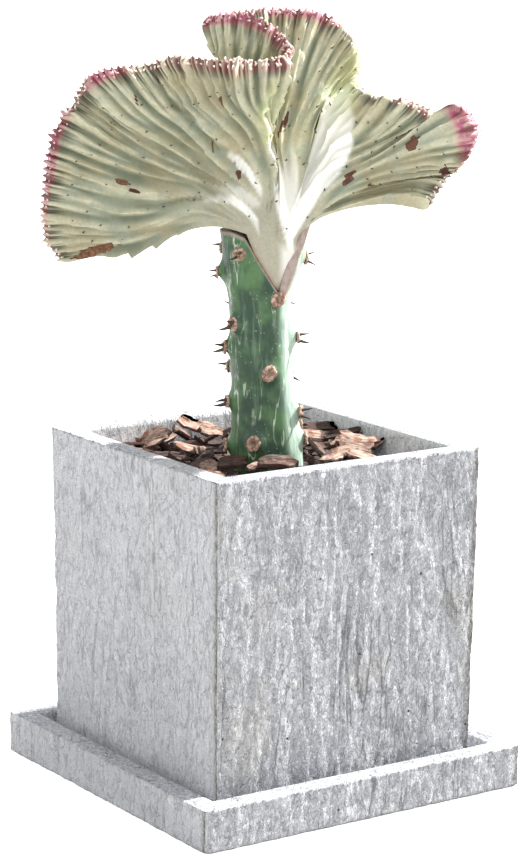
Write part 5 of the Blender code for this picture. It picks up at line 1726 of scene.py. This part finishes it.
def makeStockSkin():
    look = stockLook
    material, tree, shader, place = startMaterial("stockSkin", 0.42, {"Specular IOR Level": 0.5})
    knob = readValue(tree, (0, 1), "knob")
    callus = readValue(tree, (0, 2), "callus")
    long = useGroup(tree, grainGroup, (1, 0), place,
                    {"Stretch": (1.0, 1.0, 0.10), "Scale": 260.0, "Bend": 0.4})
    broad = patchMask(tree, (1, 1), place, 60.0, 3.0, 0.4, 0.65)
    specks = speckMask(tree, (1, 2), place, 620.0, 0.2, 0.3)
    dirt = patchMask(tree, (1, 3), place, 300.0, 4.0, 0.4, 0.65)
    tone = mixColor(tree, (3, 0), broad, look["deep"], look["green"])
    streak = remap(tree, (2, 0), long.outputs["Height"], 0.52, 0.72)
    tone = mixColor(tree, (4, 0), times(tree, (3, 1), streak, 0.4), tone, look["pale"])
    lines = useGroup(tree, grainGroup, (1, 4), place,
                     {"Stretch": (1.0, 1.0, 0.14), "Scale": 420.0, "Bend": 0.9})
    thin = times(tree, (3, 3), remap(tree, (2, 4), lines.outputs["Crack"], 0.55, 1.0), broad)
    tone = mixColor(tree, (5, 0), times(tree, (4, 1), thin, 0.9), tone, look["streak"])
    tone = mixColor(tree, (6, 0), times(tree, (5, 1), specks, 0.45), tone, look["streak"])
    # painted sunlight: the stock's lit side is painted pale
    waxy = readValue(tree, (0, 4), "waxy")
    litSideShare = times(tree, (6, 5), waxy, remap(tree, (5, 5), lines.outputs["Height"], 0.35, 0.65, 0.55, 1.0))
    tone = mixColor(tree, (6, 6), litSideShare, tone, look["litSidePale"])
    tone = mixColor(tree, (7, 0), times(tree, (6, 1), knob, 0.6), tone, look["knob"])
    cork = mixColor(tree, (7, 2), dirt, look["callus"], look["callusDark"])
    cork = mixColor(tree, (8, 2), 0.65, cork, look["callus"])
    tone = mixColor(tree, (9, 0), callus, tone, cork)
    tree.links.new(tone, shader.inputs["Base Color"])
    rough = remap(tree, (9, 3), callus, 0.0, 1.0, 0.42, 0.85)
    tree.links.new(rough, shader.inputs["Roughness"])
    height = doMath(tree, (9, 4), "ADD", long.outputs["Height"], times(tree, (8, 5), dirt, callus))
    addBump(tree, shader, height, 0.0006, 0.5)
    return material


def makeCork():
    material, tree, shader, place = startMaterial("areoleCork", 0.9)
    tip = readValue(tree, (0, 1), "tip")
    rough = patchMask(tree, (1, 0), place, 650.0, 4.0, 0.38, 0.62)
    grain = useGroup(tree, grainGroup, (1, 2), place, {"Scale": 1100.0, "Bend": 0.5})
    tone = mixColor(tree, (2, 0), rough, (0.24, 0.13, 0.09), (0.62, 0.44, 0.34))
    tone = mixColor(tree, (3, 0), times(tree, (2, 1), remap(tree, (1, 1), tip, 0.5, 1.0), 0.6), tone,
                    (0.12, 0.06, 0.04))
    tree.links.new(tone, shader.inputs["Base Color"])
    addBump(tree, shader, grain.outputs["Height"], 0.0008, 0.8)
    return material


# bark chips lie where the CAD's chips lie, larger ones where the photograph shows them, crumbs between them
barkForm = {
    "bedTop": 153.5, "soilTop": 148.0, "gap": 0.3, "count": 92, "length": (9.0, 19.0), "width": (5.0, 9.5),
    "thick": (2.0, 4.2),
    "seed": 4, "along": 6, "across": 4, "crumbSeed": 7, "crumbDensity": 90000.0, "spacing": 7.6,
    "corners": ((-0.5, -0.28), (-0.22, -0.5), (0.3, -0.46), (0.5, 0.1), (0.24, 0.5), (-0.34, 0.44)),
    # chips keep this far from the stock's middle, below and above the height given
    "stockRoom": (18.4, 21.4), "stockRoomZ": 155.8, "bedHole": 18.6, "bedRings": 26, "bedAround": 96,
    # x, y, z of the middle, length, width, thickness, heading, tilt and roll in degrees, paleness
    "large": (
        (-29.0, 52.0, 161.0, 17.0, 13.0, 2.4, -60.0, 24.0, 38.0, 1.0),
        (-24.0, 60.0, 158.5, 19.0, 9.0, 2.6, 5.0, 4.0, 12.0, 0.9),
        (-38.0, 62.0, 156.5, 20.0, 10.0, 2.4, -38.0, 6.0, -12.0, 0.9),
        (1.0, 61.0, 163.0, 21.0, 11.0, 2.6, -20.0, -18.0, 22.0, 0.9),
        (-12.0, 53.0, 161.0, 20.0, 9.0, 2.8, 28.0, -26.0, 30.0, 0.7),
        (6.0, 54.0, 160.5, 18.0, 8.0, 2.6, 12.0, -14.0, 34.0, 0.8),
        (-14.0, 42.0, 158.5, 23.0, 6.0, 2.2, -52.0, 14.0, 24.0, 0.35),
        (-20.0, 33.0, 158.0, 18.0, 7.0, 2.2, -30.0, -12.0, 16.0, 0.8),
        (-5.0, 40.0, 159.0, 21.0, 6.5, 2.4, 18.0, -12.0, 28.0, 0.5),
        (-14.0, 24.0, 157.5, 20.0, 4.5, 2.0, -76.0, 12.0, 20.0, 0.3),
        (-23.0, 16.0, 157.0, 15.0, 7.0, 2.6, 40.0, 10.0, -8.0, 0.3),
        (-24.0, -9.0, 159.0, 14.0, 8.5, 4.6, -28.0, 4.0, 8.0, 0.58),
        (-8.6, -25.5, 160.2, 18.0, 8.0, 4.8, -30.0, -3.0, 10.0, 0.66),
        (-16.0, -18.0, 158.2, 9.0, 5.0, 2.2, 10.0, 8.0, 20.0, 0.8),
        (50.0, -8.0, 160.5, 20.0, 15.0, 2.4, -48.0, -10.0, 34.0, 1.0),
        (38.0, 3.0, 158.0, 17.0, 7.0, 2.6, -70.0, 12.0, 22.0, 0.6),
        (40.0, -10.0, 157.0, 15.0, 9.0, 2.2, -20.0, 16.0, 20.0, 0.9),
        (62.0, 34.0, 160.5, 22.0, 7.0, 2.6, -36.0, 4.0, 26.0, 0.6),
        (50.0, 32.0, 158.0, 19.0, 7.5, 2.4, -30.0, -6.0, 20.0, 0.9),
        (58.0, 14.0, 160.0, 21.0, 6.5, 2.4, -62.0, 14.0, 22.0, 0.5),
        (64.0, -8.0, 158.5, 14.0, 6.0, 1.8, -80.0, 28.0, 18.0, 0.9),
        (66.0, 2.0, 159.0, 12.0, 5.0, 1.8, -30.0, -22.0, 24.0, 0.5),
        (28.0, 20.0, 158.5, 19.0, 6.0, 2.2, -46.0, -10.0, 24.0, 0.4),
        (30.0, -16.0, 157.0, 16.0, 8.0, 2.4, 12.0, 6.0, 14.0, 0.9),
        (-50.0, 8.0, 157.0, 20.0, 10.0, 2.6, 70.0, 8.0, 10.0, 0.6),
        (-44.0, -38.0, 157.0, 22.0, 10.0, 2.8, 20.0, -8.0, 12.0, 0.8),
        (10.0, -50.0, 157.5, 21.0, 11.0, 2.6, -10.0, 10.0, -12.0, 0.7),
        (46.0, -46.0, 157.0, 19.0, 9.0, 2.6, 55.0, -10.0, 8.0, 0.5),
    ),
}


def innerSide(z):
    # width inside the solid pot at this height
    return 148.2 + 1.8 * (z - potForm["baseZ"]) / (potForm["topZ"] - potForm["baseZ"]) - 2 * potForm["wall"]


def turnPoint(x, y, z, heading, tilt, roll):
    y, z = y * math.cos(roll) - z * math.sin(roll), y * math.sin(roll) + z * math.cos(roll)
    x, z = x * math.cos(tilt) - z * math.sin(tilt), x * math.sin(tilt) + z * math.cos(tilt)
    x, y = x * math.cos(heading) - y * math.sin(heading), x * math.sin(heading) + y * math.cos(heading)
    return Vector((x, y, z))


def placeChips():
    # the same rule and the same seed as the solid chips
    form = barkForm
    rng = random.Random(form["seed"])
    baseZ = form["soilTop"] + form["gap"]
    side = innerSide(form["bedTop"]) - 2 * form["gap"]
    centre = toWorld((stockAt(form["bedTop"])[0], 0.0, form["bedTop"]))
    placed = []
    chips = []
    while len(chips) < form["count"]:
        length = rng.uniform(*form["length"])
        width = rng.uniform(*form["width"])
        x = rng.uniform(-side / 2 + 4, side / 2 - 4)
        y = rng.uniform(-side / 2 + 4, side / 2 - 4)
        if any(math.hypot(x - px, y - py) < form["spacing"] for px, py in placed):
            continue
        angles = (rng.uniform(0, math.pi), math.radians(rng.uniform(-19, 19)),
                  math.radians(rng.uniform(-26, 26)))
        thick = rng.uniform(*form["thick"])
        outline = []
        for cx, cy in form["corners"]:
            outline.append((cx * length * rng.uniform(0.88, 1.1), cy * width * rng.uniform(0.85, 1.12)))
        points = []
        for level in (-0.5, 0.5):
            for cx, cy in outline:
                shrink = 0.9 if level > 0 else 1.0
                up = level * thick * rng.uniform(0.8, 1.15)
                points.append(turnPoint(cx * shrink, cy * shrink, up, *angles) + Vector((x, y, 0.0)))
        lift = form["bedTop"] - rng.uniform(0.9, 2.4) - min(p[2] for p in points)
        points = [p + Vector((0.0, 0.0, lift)) for p in points]
        wall = innerSide(form["bedTop"]) / 2 - 2 * form["gap"]
        if max(max(abs(p[0]), abs(p[1])) for p in points) > wall:
            continue
        rooms = [form["stockRoom"][0 if p[2] < form["stockRoomZ"] else 1] for p in points]
        if any(math.hypot(p[0] - centre[0], p[1] - centre[1]) < room for p, room in zip(points, rooms)):
            continue
        if min(p[2] for p in points) < baseZ + 0.2:
            continue
        placed.append((x, y))
        chips.append((length, width, thick, angles, Vector((x, y, lift)),
                      float(scatterValue(len(chips), 5.0))))
    return chips


def barkChip(length, width, thick, number):
    # one splintered plate round its middle, lying along x: points in mm, faces, cut faces, fibre places
    rng = random.Random(500 + number)
    n = barkForm["along"]
    m = barkForm["across"]
    bend = rng.uniform(-1.2, 1.6) * length / 16.0
    shell = rng.uniform(-0.5, 1.3)
    taper = [rng.uniform(0.35, 0.8)]
    taper += [rng.uniform(0.82, 1.05) for _ in range(n - 1)]
    taper.append(rng.uniform(0.3, 0.8))
    ragged = [(rng.uniform(-0.07, 0.1), rng.uniform(-0.1, 0.07)) for _ in range(m + 1)]
    groove = [rng.uniform(-0.24, 0.24) * thick for _ in range(m + 1)]
    slant = rng.uniform(-0.14, 0.14)
    points = []
    cut = []
    fibre = []
    for side in (-1, 1):
        for i in range(n + 1):
            u = i / n
            for j in range(m + 1):
                w = j / m - 0.5
                x = (u - 0.5 + ragged[j][0] * (1 - u) + ragged[j][1] * u + slant * w) * length
                y = w * width * taper[i] + rng.uniform(-0.2, 0.2)
                z = side * thick * (0.5 - 0.16 * abs(2 * w) ** 3) * rng.uniform(0.85, 1.1)
                z += groove[j] if side > 0 else 0.4 * groove[j]
                z += bend * ((2 * u - 1) ** 2 - 0.33) + shell * (4 * w * w - 0.3)
                points.append(Vector((x, y, z)))
                cut.append(1.0 if side > 0 else 0.0)
                fibre.append((x * 0.10 + number * 3.1, y * 0.9, z * 0.9))
    faces = []
    row = m + 1
    top = (n + 1) * row
    for i in range(n):
        for j in range(m):
            a = i * row + j
            faces.append((a, a + 1, a + row + 1, a + row))
            faces.append((top + a, top + a + row, top + a + row + 1, top + a + 1))
    rim = [j for j in range(row)] + [i * row + m for i in range(1, n + 1)]
    rim += [n * row + j for j in range(m - 1, -1, -1)] + [i * row for i in range(n - 1, 0, -1)]
    for k in range(len(rim)):
        a, b = rim[k], rim[(k + 1) % len(rim)]
        faces.append((b, a, top + a, top + b))
    return points, faces, cut, fibre


def buildBark(bark):
    form = barkForm
    points = []
    faces = []
    tone = []
    cut = []
    fibre = []
    chips = placeChips()
    for x, y, z, length, width, thick, heading, tilt, roll, pale in form["large"]:
        angles = tuple(math.radians(a) for a in (heading, tilt, roll))
        chips.append((length, width, thick, angles, Vector((x, y, z)), pale))
    for number, (length, width, thick, angles, spot, pale) in enumerate(chips):
        local, chipFaces, chipCut, chipFibre = barkChip(length, width, thick * 0.85, number)
        first = len(points)
        points += [turnPoint(*p, *angles) + spot for p in local]
        faces += [tuple(first + k for k in reversed(face)) for face in chipFaces]
        tone += [pale] * len(local)
        cut += chipCut
        fibre += chipFibre
    wall = innerSide(form["bedTop"]) / 2 - 0.6
    points = [(min(max(p[0], -wall), wall), min(max(p[1], -wall), wall), p[2]) for p in points]
    chipsMesh = makeMesh("barkChips", points, faces, False, bark, {"tone": tone, "cut": cut})
    addVectors(chipsMesh, "fibre", fibre)
    addPiece(chipsMesh, "bark", "bark_mulch")
    # crumbs on the bed, scattered by nodes
    bed = bedMesh("barkBed", bark)
    crumb = crumbMesh("crumbShape")
    crumbs = bed.copy()
    crumbs.data = bed.data.copy()
    crumbs.name = "barkCrumbs"
    bpy.context.scene.collection.objects.link(crumbs)
    runTree(crumbs, makeCrumbTree(),
            {"Shape": crumb, "Density": form["crumbDensity"], "Seed": form["crumbSeed"], "Finish": bark})
    crumbs.data.polygons.foreach_set("use_smooth", [False] * len(crumbs.data.polygons))
    bpy.data.objects.remove(crumb, do_unlink=True)
    addPiece(bed, "bark")
    addPiece(crumbs, "bark")


def bedMesh(name, bark):
    # uneven bed of fine bark: a closed block with a hole for the stock, in the dark bark colour as painted
    # shade in the gaps between the chips
    form = barkForm
    top = innerSide(form["bedTop"]) / 2 - 0.5
    rings = form["bedRings"]
    around = form["bedAround"]
    centre = toWorld((stockAt(form["bedTop"])[0], 0.0, 0.0))
    points = []
    tone = []
    for ring in range(rings + 1):
        share = ring / rings
        for k in range(around):
            turn = 2 * math.pi * k / around
            ray = np.array((math.cos(turn), math.sin(turn)))
            edge = min((top - centre[i] * np.sign(ray[i])) / max(abs(ray[i]), 1e-6) for i in (0, 1))
            reach = form["bedHole"] + (edge - form["bedHole"]) * share
            x, y = centre[0] + ray[0] * reach, centre[1] + ray[1] * reach
            rough = noise.noise(Vector((x * 0.12, y * 0.12, 1.0))) * 1.3
            rough += noise.noise(Vector((x * 0.4, y * 0.4, 2.0))) * 0.8
            points.append((x, y, form["bedTop"] - 0.4 + rough * (1.0 if 0 < ring < rings else 0.3)))
            tone.append(0.5 + 0.5 * noise.noise(Vector((x * 0.2, y * 0.2, 5.0))))
    faces = []
    for ring in range(rings):
        for k in range(around):
            a = ring * around + k
            b = ring * around + (k + 1) % around
            faces.append((a, a + around, b + around, b))
    first = len(points)
    outer = rings * around
    for source in (outer, 0):
        for k in range(around):
            x, y, _ = points[source + k]
            points.append((x, y, form["soilTop"] + form["gap"]))
            tone.append(0.1)
    for k in range(around):
        n = (k + 1) % around
        faces.append((outer + k, first + k, first + n, outer + n))
        faces.append((first + k, first + around + k, first + around + n, first + n))
        faces.append((first + around + k, k, n, first + around + n))
    bed = makeMesh(name, points, faces, True, bark, {"tone": tone, "cut": [0.0] * len(points)})
    addVectors(bed, "fibre", [(p[0] * 0.5, p[1] * 0.5, p[2]) for p in points])
    return bed


def crumbMesh(name):
    # a splinter
    rng = random.Random(12)
    points = []
    for z, size in ((-0.4, 0.7), (0.0, 1.0), (0.4, 0.75)):
        for k in range(6):
            a = 2 * math.pi * k / 6
            x = 3.6 * size * math.cos(a) * rng.uniform(0.6, 1.1)
            y = 0.9 * size * math.sin(a) * rng.uniform(0.7, 1.1)
            points.append((x, y, z))
    faces = [tuple(range(6))[::-1], tuple(range(12, 18)), *loftRings(3, 6)]
    crumb = makeMesh(name, points, faces, False, None, {"cut": [0.0] * 6 + [0.5] * 6 + [1.0] * 6})
    addVectors(crumb, "fibre", [(p[0] * 0.1, p[1] * 0.9, p[2] * 0.9) for p in points])
    return crumb


def makeCrumbTree():
    tree, start = startTree("scatterCrumbs", "GeometryNodeTree", (
        ("Geometry", "Geometry"), ("Shape", "Object"), ("Density", "Float", 50000.0), ("Seed", "Int", 1),
        ("Finish", "Material"),
    ), (("Geometry", "Geometry"),))
    normal = putNode(tree, "GeometryNodeInputNormal", (0, 2))
    split = putNode(tree, "ShaderNodeSeparateXYZ", (1, 2))
    tree.links.new(normal.outputs[0], split.inputs[0])
    upward = putNode(tree, "FunctionNodeCompare", (2, 2),
                     {"data_type": "FLOAT", "operation": "GREATER_THAN"}, {"B": 0.5})
    tree.links.new(split.outputs[2], upward.inputs[0])
    spread = putNode(tree, "GeometryNodeDistributePointsOnFaces", (3, 0))
    tree.links.new(start.outputs["Geometry"], spread.inputs["Mesh"])
    tree.links.new(upward.outputs[0], spread.inputs["Selection"])
    tree.links.new(start.outputs["Density"], spread.inputs["Density"])
    tree.links.new(start.outputs["Seed"], spread.inputs["Seed"])
    shape = putNode(tree, "GeometryNodeObjectInfo", (3, 3), {"transform_space": "ORIGINAL"})
    tree.links.new(start.outputs["Shape"], shape.inputs["Object"])
    turn = putNode(tree, "FunctionNodeRandomValue", (4, 2), {"data_type": "FLOAT_VECTOR"})
    turn.inputs[0].default_value = (-0.6, -0.6, 0.0)
    turn.inputs[1].default_value = (0.6, 0.6, 6.28)
    size = putNode(tree, "FunctionNodeRandomValue", (4, 4), {"data_type": "FLOAT"})
    floats = [s for s in size.inputs if s.type == "VALUE"]
    floats[0].default_value = 0.45
    floats[1].default_value = 1.25
    tree.links.new(start.outputs["Seed"], turn.inputs["Seed"])
    tree.links.new(start.outputs["Seed"], size.inputs["Seed"])
    plant = putNode(tree, "GeometryNodeInstanceOnPoints", (5, 0))
    tree.links.new(spread.outputs["Points"], plant.inputs["Points"])
    tree.links.new(shape.outputs["Geometry"], plant.inputs["Instance"])
    tree.links.new([s for s in turn.outputs if s.type == "VECTOR"][0], plant.inputs["Rotation"])
    tree.links.new([s for s in size.outputs if s.type == "VALUE"][0], plant.inputs["Scale"])
    shade = putNode(tree, "FunctionNodeRandomValue", (5, 4), {"data_type": "FLOAT"})
    store = putNode(tree, "GeometryNodeStoreNamedAttribute", (6, 0),
                    {"data_type": "FLOAT", "domain": "INSTANCE"}, {"Name": "tone"})
    tree.links.new(plant.outputs["Instances"], store.inputs["Geometry"])
    tree.links.new([s for s in shade.outputs if s.type == "VALUE"][0], store.inputs["Value"])
    return endTree(tree, 7, store.outputs["Geometry"], start)


barkLook = {
    "dark": (0.010, 0.006, 0.005), "brown": (0.075, 0.028, 0.018), "orange": (0.31, 0.135, 0.08),
    "pale": (0.58, 0.41, 0.32),
}


def makeBark():
    look = barkLook
    material, tree, shader, place = startMaterial("barkChipFinish", 0.8)
    tone = readValue(tree, (0, 1), "tone")
    cut = readValue(tree, (0, 2), "cut")
    fibrePlace = putNode(tree, "ShaderNodeAttribute", (0, 3), {"attribute_name": "fibre"}).outputs["Vector"]
    fibre = useGroup(tree, grainGroup, (1, 0), fibrePlace,
                     {"Stretch": (1.0, 1.0, 1.0), "Scale": 1.1, "Bend": 0.4})
    layers = useGroup(tree, cleftGroup, (1, 2), fibrePlace, {
        "Stretch": (1.0, 1.0, 1.0), "Scale": 0.5, "Bend": 0.5, "Layers": 9.0,
    })
    patch = patchMask(tree, (1, 1), place, 190.0, 4.0, 0.34, 0.56)
    rough = remap(tree, (2, 0), fibre.outputs["Height"], 0.35, 0.65)
    outside = mixColor(tree, (3, 0), rough, look["dark"], look["brown"])
    fresh = mixColor(tree, (3, 1), patch, look["orange"], look["pale"])
    worn = times(tree, (3, 3), doMath(tree, (2, 3), "SUBTRACT", 1.0, rough), 0.6)
    fresh = mixColor(tree, (4, 1), worn, fresh, look["brown"])
    share = times(tree, (3, 2), cut, remap(tree, (2, 4), tone, 0.56, 0.84, 0.03, 0.95))
    color = mixColor(tree, (5, 0), share, outside, fresh)
    color = mixColor(tree, (6, 0), times(tree, (5, 1), fibre.outputs["Crack"], 0.75), color, look["dark"])
    tree.links.new(color, shader.inputs["Base Color"])
    height = doMath(tree, (6, 3), "ADD", fibre.outputs["Height"], layers.outputs["Height"])
    addBump(tree, shader, height, 0.0012, 0.8)
    return material


def makeEarth():
    material, tree, shader, place = startMaterial("earth", 0.95)
    crumb = useGroup(tree, grainGroup, (1, 0), place, {"Scale": 350.0, "Bend": 0.8})
    patch = patchMask(tree, (1, 1), place, 120.0, 4.0, 0.4, 0.6)
    tone = mixColor(tree, (3, 0), patch, (0.030, 0.020, 0.014), (0.085, 0.055, 0.035))
    tree.links.new(tone, shader.inputs["Base Color"])
    addBump(tree, shader, crumb.outputs["Height"], 0.002, 0.8)
    return material


# stage, light and camera
stageLook = {
    "floorSize": 24.0, "floor": (0.44, 0.43, 0.42), "floorGlow": 1.0,
    "world": 1.26, "worldTint": (0.96, 0.98, 1.0), "sun": 10.5, "sunAngle": 1.5,
    "sunFrom": (0.62, 0.36, 0.70),
}
# the target is (spread, depth, z) in mm
cameraPlace = {
    "azimuth": -34.128, "elevation": 11.606, "roll": 0.494, "distance": 1370.664,
    "target": (-0.887, 0.0, 170.662),
    # focal length and height of the picture in pixels, sensor in mm
    "focal": 2830.343, "tall": 862, "sensor": 36.0,
}


def buildStage():
    half = stageLook["floorSize"] / 2 / mm
    floor = makeMesh("floor", [(-half, -half, 0), (half, -half, 0), (half, half, 0), (-half, half, 0)],
                     [(0, 1, 2, 3)], False)
    # the floor is white to the eye and throws back a plain, slightly warm light
    material, tree, shader, place = startMaterial("paleFloor", 0.9, {
        "Emission Color": (1.0, 1.0, 1.0, 1.0), "Specular IOR Level": 0.1,
    })
    seen = putNode(tree, "ShaderNodeLightPath", (1, 2)).outputs["Is Camera Ray"]
    tree.links.new(times(tree, (2, 2), seen, stageLook["floorGlow"]), shader.inputs["Emission Strength"])
    haze = patchMask(tree, (1, 0), place, 3.0, 2.0, 0.3, 0.7)
    tone = mixColor(tree, (2, 0), haze, stageLook["floor"], tuple(c + 0.02 for c in stageLook["floor"]))
    tree.links.new(tone, shader.inputs["Base Color"])
    floor.data.materials.append(material)
    floor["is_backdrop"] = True
    world = bpy.data.worlds.new("studioWorld")
    bpy.context.scene.world = world
    world.use_nodes = True
    background = world.node_tree.nodes["Background"]
    background.inputs["Color"].default_value = (*stageLook["worldTint"], 1.0)
    background.inputs["Strength"].default_value = stageLook["world"]
    light = bpy.data.lights.new("sun", "SUN")
    light.energy = stageLook["sun"]
    light.angle = math.radians(stageLook["sunAngle"])
    sun = bpy.data.objects.new("sun", light)
    bpy.context.scene.collection.objects.link(sun)
    direction = Vector(toWorld(stageLook["sunFrom"]))
    sun.rotation_euler = direction.to_track_quat("Z", "Y").to_euler()
    bpy.context.scene.view_settings.view_transform = "Standard"


def buildCamera():
    place = cameraPlace
    azimuth, elevation, roll = (math.radians(place[k]) for k in ("azimuth", "elevation", "roll"))
    back = Vector((math.sin(azimuth) * math.cos(elevation), -math.cos(azimuth) * math.cos(elevation),
                   math.sin(elevation)))
    right = Vector((math.cos(azimuth), math.sin(azimuth), 0.0))
    up = back.cross(right)
    rolledRight = math.cos(roll) * right + math.sin(roll) * up
    rolledUp = -math.sin(roll) * right + math.cos(roll) * up
    target = Vector(toWorld(place["target"]))
    matrix = Matrix((rolledRight, rolledUp, back)).transposed().to_4x4()
    matrix.translation = (target + back * place["distance"]) * mm
    data = bpy.data.cameras.new("camera")
    data.sensor_width = place["sensor"]
    data.lens = place["focal"] / place["tall"] * place["sensor"]
    data.clip_end = 30.0
    camera = bpy.data.objects.new("camera", data)
    bpy.context.scene.collection.objects.link(camera)
    camera.matrix_world = matrix
    bpy.context.scene.camera = camera


print("stage and camera")
buildStage()
buildCamera()

print("cement pot and saucer")
splitTree = makeSplitTree()
cement = makeCement()
buildPot(cement)
buildSaucer(cement)

print("soil and bark")
plantTree = makePlantTree("plantShapes")
earth = makeEarth()
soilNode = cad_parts["soil"]
soilNode.data.materials.clear()
soilNode.data.materials.append(earth)
buildBark(makeBark())

print("stock")
stockSkin = makeStockSkin()
buildStock(stockSkin)
horn = makeSpineFinish()
buildStockSpines(horn, makeCork(), stockSkin)

print("crest")
grown, edge, labels = buildCrest(makeFlesh())
buildTeeth(grown, edge, makeToothFinish())
buildSpines(grown, labels, horn)

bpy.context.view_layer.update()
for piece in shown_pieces():
    print(piece.name, sum(len(f.vertices) - 2 for f in piece.data.polygons))
